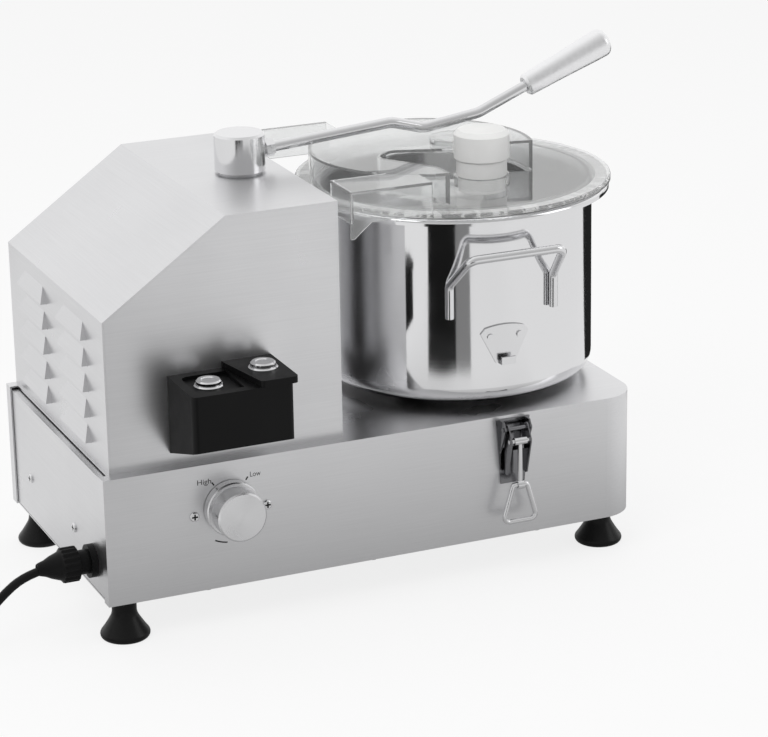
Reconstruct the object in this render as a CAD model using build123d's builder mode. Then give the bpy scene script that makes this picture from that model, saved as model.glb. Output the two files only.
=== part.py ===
from build123d import *
import os
from math import atan2, cos, degrees, pi, radians, sin, sqrt, tan

# Bowl cutter: a food machine with a belt driven sickle blade in a lift-off bowl.
# Millimetres, +Z up.  X runs along the front, Y to the back, the floor is Z = 0, and
# the origin is the middle of the machine's outline on the floor.

os.makedirs("parts", exist_ok=True)

# ---------------------------------------------------------------- driving dimensions
# base
base_length = 520
base_depth = 288
base_height = 117
sheet = 1.5                    # stainless sheet of the base and the housing
base_corner_radius = 34        # the two corners at the bowl end
base_flange = 12               # inward flange round the open end
gutter_width = 8               # open channel between the end plate and the deck
gutter_drop = 3
sheet_gap = 0.3                # between sheets that lie beside each other
foot_height = 38
foot_radius = 22
foot_neck_radius = 11
foot_inset_left = 20
foot_inset_right = 23
foot_inset_depth_left = 20
foot_inset_depth_right = 38
foot_bolt_radius = 4
foot_bolt_head_radius = 7
foot_bolt_head = 5
bolt_clearance = 0.2
screw_head_radius = 4.5
screw_head = 2
screw_radius = 2
screw_length = 8

# housing
housing_inset_left = 10        # from the left end of the base
housing_inset_front = 13
housing_width = 218
housing_wall_height = 137      # the upright louvred end
roof_drop = 3.5                # roof below the top of the lid's plateau
housing_roof_start = 124       # the slope ends here, from the left end of the base
louvre_pitch = 23.5
louvre_rows = 5
louvre_first = 22              # middle of the lowest row above the deck
louvre_length = 74
louvre_top_length = 54
louvre_height = 14
louvre_depth = 6
louvre_wall = 1.2
louvre_columns = (95, 210)     # column middles from the front of the base

# bowl and its seat
bowl_from_left = 397.5         # bowl axis from the left end of the base
bowl_radius = 129.3
bowl_wall = 1.5
bowl_floor_gap = 6             # deck to the underside of the bowl
bowl_height = 178.5
bowl_floor_radius = 16         # round between the floor and the wall
bowl_rim = 14.2                # rim outside the bowl wall
bowl_rim_drop = 5
bowl_tube_radius = 19          # centre tube that the spindle comes up through
bowl_tube_height = 120
seat_radius = 58
seat_bore = 34
fitting_offset = -9            # handles, keepers and latches from the bowl axis
fitting_gap = 0.3              # between the bowl and what is welded or riveted to it
handle_wire = 8
handle_half_width = 50
handle_bar_half_width = 46
handle_foot_z = 85             # above the bowl's underside
handle_bend_z = 116
handle_bar_z = 148
handle_reach = 36              # bar out from the legs
handle_bend_radius = 9
keeper_top_half = 23
keeper_bottom_half = 9
keeper_height = 36
keeper_bottom_z = 40           # above the bowl's underside
keeper_thickness = 2
keeper_hook_width = 14
keeper_hook_reach = 9
keeper_hook_rise = 7
rivet_radius = 3.2
rivet_head = 1.6

# spindle, blades and drive
spindle_radius = 9
running_fit = 0.05
bearing_outer_radius = 20
bearing_width = 12
bearing_housing_wall = 6
bearing_flange_radius = 42
bearing_housing_height = 48
hub_radius = 27
hub_wall = 5.4
hub_cap_radius = 29
hub_cap = 12
hub_height = 163
hub_floor_gap = 3.5            # bowl floor to the turning hub
hub_flange_radius = 33
hub_flange = 5
blade_reach = 108
blade_thickness = 3
blade_bevel = 1.6
blade_spacer = 34
blade_collar = 9
motor_from_left = 112
motor_radius = 66
motor_bell = 16
motor_height = 138
motor_foot_radius = 78
motor_shaft_radius = 9
motor_fins = 20
rotor_radius = 40
pulley_radius_motor = 28
pulley_radius_spindle = 42
pulley_width = 18
pulley_lip = 4
pulley_lip_thickness = 1.5
pulley_drop = 72               # deck to the top of both pulleys
belt_thickness = 4
belt_gap = 0.3

# lid and feed plug
gasket = 1.5
lid_overhang = 1.6             # lid outside the rim
lid_thickness = 4
lid_wall = 3
plateau_radius = 104
plateau_offset = -31.5         # plateau middle from the bowl axis
plateau_height = 29
bay_corner_radius = 12
boss_radius = 21
boss_height = 5
spigot_depth = 8               # lip that centres the lid in the bowl
spigot_gap = 1.2
feed_offset = (6.5, -50)       # feed hole from the bowl axis
feed_radius = 22.3
feed_collar_wall = 3.5
feed_collar_height = 9
plug_gap = 0.5
plug_spigot = 18
plug_neck_radius = 23.2
plug_neck = 15
plug_cap_radius = 25.5
plug_cap = 27
bracket_left = -154            # lid arms beside the housing, from the bowl axis
bracket_right = -76
bracket_front = -123.5
bracket_depth = 46
bracket_tip_drop = 14
bracket_tip = 20

# lever
post_from_left = 188
post_radius = 23
post_height = 34
post_chamfer = 2
post_gap = 0.4
pivot_radius = 8
pivot_length = 44
arm_radius = 5
arm_bend_radius = 28
arm_mid = 17.4                 # arm where it leaves the post, above the post's foot
arm_bump = (148.6, 28.6)       # reach from the pivot and height above the roof
arm_dip = (180.5, 19.7)
arm_rise = (236.4, 27.6)
grip_start = (284.8, 47.8)
grip_length = 91
grip_start_radius = 10.5
grip_end_radius = 13.5
grip_waist_radius = 11.5
arm_in_grip = 20
lock_nut = 8
lock_nut_radius = 8.5
thread_length = 14

# controls
switch_left = 66               # from the left end of the base
switch_right = 158
switch_top = 81.5              # above the deck
switch_bottom_back = 11
switch_bottom_front = 31
switch_reach = 65              # out from the housing front
switch_corner = 5
switch_tray_depth = 3
switch_cap_height = 6
switch_cap_left = 116
switch_cap_overhang = 4
button_radius = 11
button_bezel_radius = 13
button_bezel_height = 2.5
button_height = 4
button_travel = 3
button_stem = 14
button_gap = 0.3
start_button_x = 92
stop_button_x = 142
button_setback = 33            # from the housing front
knob_x = 115.3
knob_z = 74.7                  # above the underside of the base
knob_skirt_radius = 25
knob_skirt = 9
knob_radius = 22.5
knob_depth = 30
knob_gap = 0.6
knob_shaft_radius = 3
pot_radius = 14
pot_depth = 18
pot_screw_offset = 34
board_from_left = 190
board_setback = 30             # from the base front
board_length = 110
board_height = 62
board_thickness = 2
board_cells = 3                # round components on the board
board_cell_radius = 9
board_cell_height = 22
capacitor_from_left = 200
capacitor_inset = 50           # from the back of the base
capacitor_radius = 21
capacitor_height = 92

# latches
latch_plate_half = 17
latch_plate_height = 62
latch_plate_top = 3            # below the deck
latch_plate = 1.5
latch_cheek_half = 12
latch_cheek_reach = 18
latch_pivot_drop = 10          # lever pivot below the deck
latch_pivot_reach = 10
latch_link_drop = 20           # link pin below the deck
latch_link_reach = 16.5
latch_pin_radius = 2
latch_lever_half = 9
latch_lever_length = 44
latch_rod_radius = 2.2
latch_rod_length = 42
latch_ring_height = 35
latch_ring_half = 17
latch_ring_top_half = 7
latch_ring_wire = 2.4
pin_gap = 0.1
side_gap = 0.6

# mains lead
gland_y = 44                   # from the front of the base
gland_z = 28                   # above the underside of the base
gland_reach = 37
gland_flange_radius = 15
gland_flange = 6
gland_neck_radius = 11
gland_nut_radius = 15
gland_nut = 23
gland_thread_radius = 10
gland_inner_length = 12
cord_diameter = 8
cord_bore_gap = 0.2
coil_mid_radius = 42
coil_turns = 5.25
coil_rows = 3
coil_columns = 2
coil_lead_in = 30              # straight lead that runs on to the coil
plug_body_radius = 19
plug_body_length = 38
plug_relief_length = 24
plug_pin_radius = 2.4
plug_pin_length = 19
plug_pin_half_pitch = 9.5

# ---------------------------------------------------------------- derived places
outline_left = -gland_reach
grip_slope = atan2(grip_start[1] - arm_rise[1], grip_start[0] - arm_rise[0])
grip_reach = grip_start[0] + grip_length * cos(grip_slope) + grip_end_radius * sin(grip_slope)
outline_right = post_from_left + grip_reach
outline_front = housing_inset_front - switch_reach
outline_back = base_depth + latch_link_reach + latch_rod_radius + 1
base_left = -(outline_left + outline_right) / 2
base_front = -(outline_front + outline_back) / 2
base_right = base_left + base_length
base_back = base_front + base_depth
mid_y = base_front + base_depth / 2
deck = foot_height + base_height

housing_left = base_left + housing_inset_left
housing_right = housing_left + housing_width
housing_front = base_front + housing_inset_front
housing_back = base_back
roof_start = base_left + housing_roof_start

bowl_x = base_left + bowl_from_left
bowl_y = mid_y
bowl_z = deck + bowl_floor_gap
bowl_top = bowl_z + bowl_height + bowl_wall
bowl_rim_radius = bowl_radius + bowl_rim
fitting_x = bowl_x + fitting_offset
hub_bottom = bowl_z + bowl_wall + hub_floor_gap
hub_top = hub_bottom + hub_height
pulley_top = deck - pulley_drop
motor_x = base_left + motor_from_left
motor_y = mid_y

lid_z = bowl_top + gasket
lid_top = lid_z + lid_thickness
lid_radius = bowl_rim_radius + bowl_wall + lid_overhang
plateau_x = bowl_x + plateau_offset
plateau_top = lid_top + plateau_height
roof = plateau_top - roof_drop
feed_x = bowl_x + feed_offset[0]
feed_y = bowl_y + feed_offset[1]
collar_top = lid_top + feed_collar_height

post_x = base_left + post_from_left
post_y = mid_y

knob_centre = (base_left + knob_x, foot_height + knob_z)
knob_face_gap = base_front - knob_gap

gland_centre = (base_front + gland_y, foot_height + gland_z)
cord_radius = cord_diameter / 2
cord_floor = cord_radius + 0.1


arm_start = (post_x + post_radius - thread_length, post_y, roof + arm_mid)
arm_first_bend = (post_x + arm_bump[0], post_y, roof + arm_bump[1])
arm_direction = (Vector(*arm_first_bend) - Vector(*arm_start)).normalized()


# ---------------------------------------------------------------- helpers
def save(piece, name):
    """Label a finished piece and write its STEP file."""
    piece.label = name
    export_step(piece, f"parts/{name}.step")


def turn(x, y, profile, mode=Mode.ADD):
    """Revolve a closed (radius, height) outline about the upright axis at x, y."""
    with BuildSketch(Plane(origin=(x, y, 0), x_dir=(1, 0, 0), z_dir=(0, -1, 0))) as half:
        with BuildLine():
            Polyline(*profile, close=True)
        make_face()
    revolve(half.sketch, axis=Axis((x, y, 0), (0, 0, 1)), mode=mode)


def post(x, y, z0, z1, radius, mode=Mode.ADD):
    """An upright cylinder between two heights."""
    with BuildSketch(Plane.XY.offset(z0)) as disc:
        with Locations((x, y)):
            Circle(radius)
    extrude(disc.sketch, amount=z1 - z0, mode=mode)


def rod(start, direction, length, radius, mode=Mode.ADD):
    """A cylinder from a point along a direction."""
    with BuildSketch(Plane(origin=start, z_dir=direction)) as disc:
        Circle(radius)
    extrude(disc.sketch, amount=length, mode=mode)


def slab(x_range, y_range, z_range, mode=Mode.ADD):
    """A rectangular bar or cut between two corners."""
    with BuildSketch(Plane.XY.offset(z_range[0])) as area:
        with Locations((x_range[0], y_range[0])):
            size = (x_range[1] - x_range[0], y_range[1] - y_range[0])
            Rectangle(*size, align=(Align.MIN, Align.MIN))
    extrude(area.sketch, amount=z_range[1] - z_range[0], mode=mode)


def on_bowl(half_width, radius):
    """How far in front of the bowl axis a point of this radius lies, half_width to its side."""
    return sqrt(radius ** 2 - half_width ** 2)


def bend_radii(points, share=0.45):
    """The largest arc at each corner of a route: share of the shorter run over tan(half turn)."""
    vectors = [Vector(*point) for point in points]
    radii = []
    for before, corner, after in zip(vectors, vectors[1:], vectors[2:]):
        run_in = corner - before
        run_out = after - corner
        half_turn = radians(run_in.get_angle(run_out)) / 2
        radii.append(share * min(run_in.length, run_out.length) / tan(half_turn))
    return radii


foot_places = {
    "front_left": (base_left + foot_inset_left, base_front + foot_inset_depth_left),
    "front_right": (base_right - foot_inset_right, base_front + foot_inset_depth_right),
    "rear_left": (base_left + foot_inset_left, base_back - foot_inset_depth_left),
    "rear_right": (base_right - foot_inset_right, base_back - foot_inset_depth_right),
}

# ---------------------------------------------------------------- base
end_plate_face = base_left + sheet + sheet_gap

with BuildPart() as base_shell:
    with BuildSketch(Plane.XY.offset(foot_height)) as outline:
        with Locations((base_left, base_front)):
            Rectangle(base_length, base_depth, align=(Align.MIN, Align.MIN))
        fillet(outline.vertices().sort_by(Axis.X)[-2:], radius=base_corner_radius)
    extrude(amount=base_height)
    with BuildSketch(Plane.XY.offset(foot_height)) as hollow:
        with Locations((base_left, base_front + sheet)):
            Rectangle(base_length - sheet, base_depth - 2 * sheet, align=(Align.MIN, Align.MIN))
        fillet(hollow.vertices().sort_by(Axis.X)[-2:], radius=base_corner_radius - sheet)
    extrude(amount=base_height - sheet, mode=Mode.SUBTRACT)
    for edge_y in (base_front, base_back - base_flange):
        slab((base_left, base_left + sheet), (edge_y, edge_y + base_flange), (foot_height, deck))
    gutter_y = (base_front + base_flange, base_back - base_flange)
    slab((base_left, base_left + gutter_width), gutter_y, (deck - 2 * sheet, deck), Mode.SUBTRACT)
    post(motor_x, motor_y, deck - sheet, deck, pulley_radius_motor, Mode.SUBTRACT)
    bearing_body_radius = bearing_outer_radius + bearing_housing_wall
    post(bowl_x, bowl_y, deck - sheet, deck, bearing_body_radius + sheet_gap, Mode.SUBTRACT)
    rod((knob_centre[0], base_front, knob_centre[1]), (0, 1, 0), sheet, 5, Mode.SUBTRACT)
    for side in (-1, 1):
        hole_x = knob_centre[0] + side * pot_screw_offset
        start = (hole_x, base_front, knob_centre[1] - 4)
        rod(start, (0, 1, 0), sheet, screw_radius + bolt_clearance, Mode.SUBTRACT)

end_screw_places = [(base_front + 96, foot_height + 40), (base_front + 227, foot_height + 42)]
with BuildPart() as left_end_plate:
    x0 = end_plate_face
    y_ends = (base_front + sheet + sheet_gap, base_back - sheet - sheet_gap)
    slab((x0, x0 + sheet), y_ends, (foot_height + 2, deck - gutter_drop))
    slab((x0, x0 + base_flange + 4), y_ends, (deck - gutter_drop - sheet, deck - gutter_drop))
    start = (x0, *gland_centre)
    rod(start, (1, 0, 0), sheet, gland_thread_radius + bolt_clearance, Mode.SUBTRACT)
    for place in end_screw_places:
        rod((x0, *place), (1, 0, 0), sheet, screw_radius + bolt_clearance, Mode.SUBTRACT)
save(left_end_plate.part, "left_end_plate")

bottom_screw_places = [
    (base_left + base_length * along, edge_y)
    for along in (0.18, 0.485, 0.8)
    for edge_y in (base_front + 7, base_back - 7)
]
with BuildPart() as bottom_plate:
    with BuildSketch(Plane.XY.offset(foot_height)) as plate:
        edge = sheet + sheet_gap
        with Locations((base_left + edge, base_front + edge)):
            size = (base_length - 2 * edge, base_depth - 2 * edge)
            Rectangle(*size, align=(Align.MIN, Align.MIN))
        fillet(plate.vertices().sort_by(Axis.X)[-2:], radius=base_corner_radius - edge)
        with Locations(*[Location((x, y)) for x, y in foot_places.values()]):
            Circle(foot_bolt_radius + bolt_clearance, mode=Mode.SUBTRACT)
        with Locations(*[Location((x, y)) for x, y in bottom_screw_places]):
            Circle(screw_radius + bolt_clearance, mode=Mode.SUBTRACT)
        with Locations((motor_x, motor_y)):
            with GridLocations(60, 12, 2, 9):
                SlotOverall(46, 5, mode=Mode.SUBTRACT)
    extrude(amount=sheet)
save(bottom_plate.part, "bottom_plate")

with BuildPart() as feet:
    for x, y in foot_places.values():
        with BuildSketch(Plane(origin=(x, y, 0), x_dir=(1, 0, 0), z_dir=(0, -1, 0))):
            with BuildLine():
                sole = Polyline((foot_bolt_radius + bolt_clearance, 0), (foot_radius - 2, 0))
                lip = ThreePointArc(sole @ 1, (foot_radius, 2.5), (foot_radius - 0.6, 6))
                flare = (foot_neck_radius + 3.2, foot_height * 0.44)
                neck = (foot_neck_radius, foot_height * 0.68)
                bell = Spline(lip @ 1, flare, neck, tangents=((-0.8, 1), (0, 1)))
                Polyline(
                    bell @ 1,
                    (foot_neck_radius, foot_height),
                    (foot_bolt_radius + bolt_clearance, foot_height),
                    sole @ 0,
                )
            make_face()
        revolve(axis=Axis((x, y, 0), (0, 0, 1)))
        post(x, y, 0, foot_bolt_head + 2, foot_bolt_head_radius + 0.5, Mode.SUBTRACT)
save(feet.part, "feet")

with BuildPart() as foot_bolts:
    for x, y in foot_places.values():
        head_top = foot_bolt_head + 2
        post(x, y, head_top - foot_bolt_head, head_top, foot_bolt_head_radius)
        post(x, y, head_top, foot_height + sheet + 12, foot_bolt_radius)
    with BuildSketch(Plane.XY.offset(foot_height + sheet)):
        with Locations(*[Location((x, y)) for x, y in foot_places.values()]):
            RegularPolygon(foot_bolt_head_radius, 6)
            Circle(foot_bolt_radius + running_fit, mode=Mode.SUBTRACT)
    extrude(amount=6.5)
save(foot_bolts.part, "foot_bolts")

# ---------------------------------------------------------------- housing
wall_top = deck + housing_wall_height
housing_profile = [
    (housing_left, deck),
    (housing_left, wall_top),
    (roof_start, roof),
    (housing_right, roof),
    (housing_right, deck),
]
louvre_zs = [deck + louvre_first + row * louvre_pitch for row in range(louvre_rows)]
louvre_ys = [base_front + column for column in louvre_columns]


def louvre_wedge(depth, half_height, low_length, high_length, inward):
    """A wedge that leaves the sheet at its top and stands out by depth at its foot."""
    with BuildPart() as wedge:
        with BuildSketch(Plane.XZ):
            with BuildLine():
                Polyline(
                    (inward, half_height),
                    (0, half_height),
                    (-depth, -half_height),
                    (inward, -half_height),
                    close=True,
                )
            make_face()
        extrude(amount=low_length / 2, both=True)
        with BuildSketch(Plane.YZ.offset(-2 * depth)):
            with BuildLine():
                Polyline(
                    (-low_length / 2, -half_height),
                    (low_length / 2, -half_height),
                    (high_length / 2, half_height),
                    (-high_length / 2, half_height),
                    close=True,
                )
            make_face()
        extrude(amount=4 * depth, mode=Mode.INTERSECT)
    return wedge.part


louvre_half = louvre_height / 2
louvre_lean = sqrt(louvre_height ** 2 + louvre_depth ** 2) / louvre_height
louvre_hood = louvre_wedge(louvre_depth, louvre_half, louvre_length, louvre_top_length, sheet / 2)
louvre_hollow = Pos(0, 0, -louvre_wall) * louvre_wedge(
    louvre_depth - louvre_wall * louvre_lean,
    louvre_half,
    louvre_length - 2 * louvre_wall,
    louvre_top_length - 2 * louvre_wall,
    sheet,
)

with BuildPart() as housing_wrap:
    with BuildSketch(Plane.XZ.offset(-housing_back)):
        with BuildLine():
            Polyline(*housing_profile, close=True)
        make_face()
    extrude(amount=housing_back - housing_front)
    open_faces = housing_wrap.faces().sort_by(Axis.Y)
    bottom = housing_wrap.faces().sort_by(Axis.Z)[0]
    offset(amount=-sheet, openings=[open_faces[0], open_faces[-1], bottom], kind=Kind.INTERSECTION)
    hood_places = [Location((housing_left, y, z)) for y in louvre_ys for z in louvre_zs]
    with Locations(*hood_places):
        add(louvre_hood)
        add(louvre_hollow, mode=Mode.SUBTRACT)
    post(post_x, post_y, roof - sheet, roof, 15 + bolt_clearance, Mode.SUBTRACT)
save(housing_wrap.part, "housing_wrap")


housing_screw_xs = (housing_left + 20, housing_right - 20)
housing_screw_inset = 12


def housing_panel(y, inwards, holes):
    """An end sheet of the housing, let into the wrap, with a foot flange and (x, z, radius) holes."""
    with BuildPart() as panel:
        inner = sheet + 0.05
        lean = (wall_top - roof) / (housing_left - roof_start)
        drop = inner * (sqrt(1 + lean ** 2) - lean)
        rise = inner * (sqrt(1 + lean ** 2) - 1) / lean
        with BuildSketch(Plane.XZ.offset(-y)):
            with BuildLine():
                Polyline(
                    (housing_left + inner, deck),
                    (housing_left + inner, wall_top - drop),
                    (roof_start + rise, roof - inner),
                    (housing_right - inner, roof - inner),
                    (housing_right - inner, deck),
                    close=True,
                )
            make_face()
            for x, z, radius in holes:
                with Locations((x, z)):
                    Circle(radius, mode=Mode.SUBTRACT)
        extrude(amount=-inwards * sheet)
        flange_y = sorted((y, y + inwards * 2 * housing_screw_inset))
        slab((housing_left + inner, housing_right - inner), flange_y, (deck, deck + sheet))
        for x in housing_screw_xs:
            post(x, y + inwards * housing_screw_inset, deck, deck + sheet,
                 screw_radius + bolt_clearance, Mode.SUBTRACT)
    return panel.part


wire_hole = (base_left + (switch_left + switch_right) / 2, deck + 45, 8)
save(housing_panel(housing_front, 1, [wire_hole]), "housing_front_panel")
save(housing_panel(housing_back, -1, []), "housing_rear_panel")
housing_screw_places = [
    (x, y)
    for x in housing_screw_xs
    for y in (housing_front + housing_screw_inset, housing_back - housing_screw_inset)
]

with BuildPart() as base_casing:
    add(base_shell.part)
    for x, y in housing_screw_places:
        post(x, y, deck - sheet, deck, screw_radius + bolt_clearance, Mode.SUBTRACT)
save(base_casing.part, "base_casing")

# ---------------------------------------------------------------- motor and drive
rotor_gap = 1
shaft_bottom = pulley_top - pulley_width - 6
with BuildPart() as motor_body:
    post(motor_x, motor_y, deck, deck + 4, motor_foot_radius)
    post(motor_x, motor_y, deck + 4, deck + motor_height, motor_radius)
    with BuildSketch(Plane.XY.offset(deck + 4 + motor_bell)):
        with Locations((motor_x, motor_y)):
            with PolarLocations(motor_radius + 1, motor_fins):
                Rectangle(6, 2.5)
    extrude(amount=motor_height - 4 - 2 * motor_bell)
    post(motor_x, motor_y, deck + motor_bell, deck + motor_height - motor_bell,
         rotor_radius + rotor_gap, Mode.SUBTRACT)
    post(motor_x, motor_y, deck, deck + motor_height - 6, motor_shaft_radius + running_fit,
         Mode.SUBTRACT)
    top_edge = motor_body.edges().filter_by(GeomType.CIRCLE).group_by(Axis.Z)[-1]
    fillet(top_edge, radius=5)
save(motor_body.part, "motor_body")

with BuildPart() as motor_rotor:
    post(motor_x, motor_y, shaft_bottom, deck + motor_height - 7, motor_shaft_radius)
    post(motor_x, motor_y, deck + motor_bell + 2, deck + motor_height - motor_bell - 2, rotor_radius)
save(motor_rotor.part, "motor_rotor")


def pulley(x, y, radius, bore):
    """A flat belt pulley with a lip above and below the belt."""
    bottom = pulley_top - pulley_width
    with BuildPart() as wheel:
        turn(x, y, [
            (bore + running_fit, bottom),
            (radius + pulley_lip, bottom),
            (radius + pulley_lip, bottom + pulley_lip_thickness),
            (radius, bottom + pulley_lip_thickness),
            (radius, pulley_top - pulley_lip_thickness),
            (radius + pulley_lip, pulley_top - pulley_lip_thickness),
            (radius + pulley_lip, pulley_top),
            (bore + running_fit, pulley_top),
        ])
    return wheel.part


save(pulley(motor_x, motor_y, pulley_radius_motor, motor_shaft_radius), "motor_pulley")
save(pulley(bowl_x, bowl_y, pulley_radius_spindle, spindle_radius), "spindle_pulley")

with BuildPart() as drive_belt:
    belt_low = pulley_top - pulley_width + pulley_lip_thickness + 0.5
    belt_high = pulley_top - pulley_lip_thickness - 0.5
    for depth, mode in ((belt_gap + belt_thickness, Mode.ADD), (belt_gap, Mode.SUBTRACT)):
        with BuildSketch(Plane.XY.offset(belt_low)) as loop:
            with Locations((motor_x, motor_y)):
                Circle(pulley_radius_motor + depth)
            with Locations((bowl_x, bowl_y)):
                Circle(pulley_radius_spindle + depth)
            make_hull()
        extrude(amount=belt_high - belt_low, mode=mode)
save(drive_belt.part, "drive_belt")

bearing_bottom = deck - sheet - bearing_housing_height
seal_height = 3
with BuildPart() as bearing_housing:
    turn(bowl_x, bowl_y, [
        (spindle_radius + 4, bearing_bottom),
        (bearing_body_radius, bearing_bottom),
        (bearing_body_radius, deck - sheet - 6),
        (bearing_flange_radius, deck - sheet - 6),
        (bearing_flange_radius, deck - sheet),
        (bearing_body_radius, deck - sheet),
        (bearing_body_radius, deck + 2),
        (bearing_outer_radius + running_fit, deck + 2),
        (bearing_outer_radius + running_fit, deck - bearing_width - 1),
        (spindle_radius + 4, deck - bearing_width - 1),
        (spindle_radius + 4, bearing_bottom + bearing_width + 4),
        (bearing_outer_radius + running_fit, bearing_bottom + bearing_width + 4),
        (bearing_outer_radius + running_fit, bearing_bottom + 4),
        (spindle_radius + 4, bearing_bottom + 4),
    ])
save(bearing_housing.part, "bearing_housing")


def bearing(z):
    """A ball bearing as its two races and a caged ball ring, its bottom face at z."""
    ball = 3.2
    mid = (spindle_radius + bearing_outer_radius) / 2
    with BuildPart() as races:
        post(bowl_x, bowl_y, z, z + bearing_width, bearing_outer_radius)
        post(bowl_x, bowl_y, z, z + bearing_width, mid + 1.6, Mode.SUBTRACT)
        with BuildSketch(Plane.XY.offset(z)):
            with Locations((bowl_x, bowl_y)):
                Circle(mid - 1.6)
                Circle(spindle_radius + running_fit, mode=Mode.SUBTRACT)
        extrude(amount=bearing_width)
        with BuildSketch(Plane.XY.offset(z + bearing_width / 2 - ball)):
            with Locations((bowl_x, bowl_y)):
                Circle(mid + 1.6)
                Circle(mid - 1.6, mode=Mode.SUBTRACT)
        extrude(amount=2 * ball)
    return races.part


with BuildPart() as bearings:
    add(bearing(deck - bearing_width - 1))
    add(bearing(bearing_bottom + 4))
save(bearings.part, "bearings")

with BuildPart() as shaft_seal:
    turn(bowl_x, bowl_y, [
        (spindle_radius + 0.1, deck - 0.8),
        (bearing_outer_radius - 0.2, deck - 0.8),
        (bearing_outer_radius - 0.2, deck + seal_height),
        (spindle_radius + 2, deck + seal_height),
        (spindle_radius + 0.1, deck + seal_height - 2),
    ])
save(shaft_seal.part, "shaft_seal")

flange_mid = (bearing_body_radius + bearing_flange_radius) / 2
bearing_screw_places = [
    (bowl_x + flange_mid * cos(radians(angle)), bowl_y + flange_mid * sin(radians(angle)))
    for angle in (45, 135, 225, 315)
]

with BuildPart() as spindle:
    post(bowl_x, bowl_y, pulley_top - pulley_width - 4, hub_top - hub_cap + 6, spindle_radius)
    top_edge = spindle.edges().filter_by(GeomType.CIRCLE).sort_by(Axis.Z)[-1]
    chamfer(top_edge, length=1.5)
save(spindle.part, "spindle")

# ---------------------------------------------------------------- bowl
seat_top = bowl_z - 0.3
with BuildPart() as bowl_seat:
    turn(bowl_x, bowl_y, [
        (seat_bore, deck),
        (seat_radius, deck),
        (seat_radius, deck + 3),
        (seat_radius - 3, seat_top),
        (seat_bore, seat_top),
    ])
save(bowl_seat.part, "bowl_seat")

with BuildPart() as bowl:
    with BuildSketch(Plane(origin=(bowl_x, bowl_y, 0), x_dir=(1, 0, 0), z_dir=(0, -1, 0))):
        with BuildLine() as section:
            FilletPolyline(
                (bowl_tube_radius, bowl_z + bowl_tube_height),
                (bowl_tube_radius, bowl_z),
                (bowl_radius, bowl_z),
                (bowl_radius, bowl_top - bowl_wall),
                (bowl_rim_radius, bowl_top - bowl_wall),
                (bowl_rim_radius, bowl_top - bowl_wall - bowl_rim_drop),
                radius=[4, bowl_floor_radius, 4, 2.5],
            )
            offset(amount=bowl_wall, side=Side.LEFT)
        make_face()
    revolve(axis=Axis((bowl_x, bowl_y, 0), (0, 0, 1)))
save(bowl.part, "bowl")


def bowl_handle(front):
    """A bent wire handle welded to the bowl: front is -1 for the front one, 1 for the rear one."""
    stand = bowl_radius + fitting_gap + handle_wire / 2
    leg_x = max(abs(fitting_offset - handle_half_width), abs(fitting_offset + handle_half_width))
    leg_y = on_bowl(leg_x, stand)
    near_y = on_bowl(abs(fitting_offset + handle_half_width), stand)
    route = [
        (fitting_x - handle_half_width, bowl_y + front * leg_y, bowl_z + handle_foot_z),
        (fitting_x - handle_half_width, bowl_y + front * leg_y, bowl_z + handle_bend_z),
        (fitting_x - handle_bar_half_width, bowl_y + front * (leg_y + handle_reach),
         bowl_z + handle_bar_z),
        (fitting_x + handle_bar_half_width, bowl_y + front * (leg_y + handle_reach),
         bowl_z + handle_bar_z),
        (fitting_x + handle_half_width, bowl_y + front * near_y, bowl_z + handle_bend_z),
        (fitting_x + handle_half_width, bowl_y + front * near_y, bowl_z + handle_foot_z),
    ]
    with BuildPart() as handle:
        with BuildLine() as wire:
            FilletPolyline(*route, radius=handle_bend_radius)
        with BuildSketch(Plane(origin=route[0], z_dir=(0, 0, 1))):
            Circle(handle_wire / 2)
        sweep(path=wire.line)
    return handle.part


def bowl_keeper(front):
    """A fan shaped plate wrapped on the bowl, with the upturned hook that the latch ring pulls."""
    inner = bowl_radius + fitting_gap
    low = bowl_z + keeper_bottom_z
    high = low + keeper_height
    centre_y = on_bowl(fitting_offset, inner)
    with BuildPart() as keeper:
        with BuildSketch(Plane.XY.offset(low)):
            with Locations((bowl_x, bowl_y)):
                Circle(inner + keeper_thickness)
                Circle(inner, mode=Mode.SUBTRACT)
        extrude(amount=keeper_height)
        with BuildSketch(Plane.XZ.offset(-bowl_y)):
            with BuildLine():
                shoulder = high - 8
                Polyline(
                    (fitting_x - keeper_bottom_half, low),
                    (fitting_x - keeper_top_half, shoulder),
                    (fitting_x - keeper_top_half + 4, high - 3),
                )
                ThreePointArc(
                    (fitting_x - keeper_top_half + 4, high - 3),
                    (fitting_x, high),
                    (fitting_x + keeper_top_half - 4, high - 3),
                )
                Polyline(
                    (fitting_x + keeper_top_half - 4, high - 3),
                    (fitting_x + keeper_top_half, shoulder),
                    (fitting_x + keeper_bottom_half, low),
                    (fitting_x - keeper_bottom_half, low),
                )
            make_face()
        extrude(amount=-front * 2 * bowl_radius, mode=Mode.INTERSECT)
        reach = centre_y + keeper_hook_reach
        with BuildSketch(Plane(origin=(fitting_x, bowl_y, 0), x_dir=(0, front, 0),
                               z_dir=Vector(0, front, 0).cross(Vector(0, 0, 1)))):
            with BuildLine():
                Polyline(
                    (centre_y + 1, low),
                    (reach, low),
                    (reach, low + keeper_hook_rise),
                    (reach - 2, low + keeper_hook_rise),
                    (reach - 2, low + 2),
                    (centre_y + 1, low + 2),
                    close=True,
                )
            make_face()
        extrude(amount=keeper_hook_width / 2, both=True)
    return keeper.part


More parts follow.
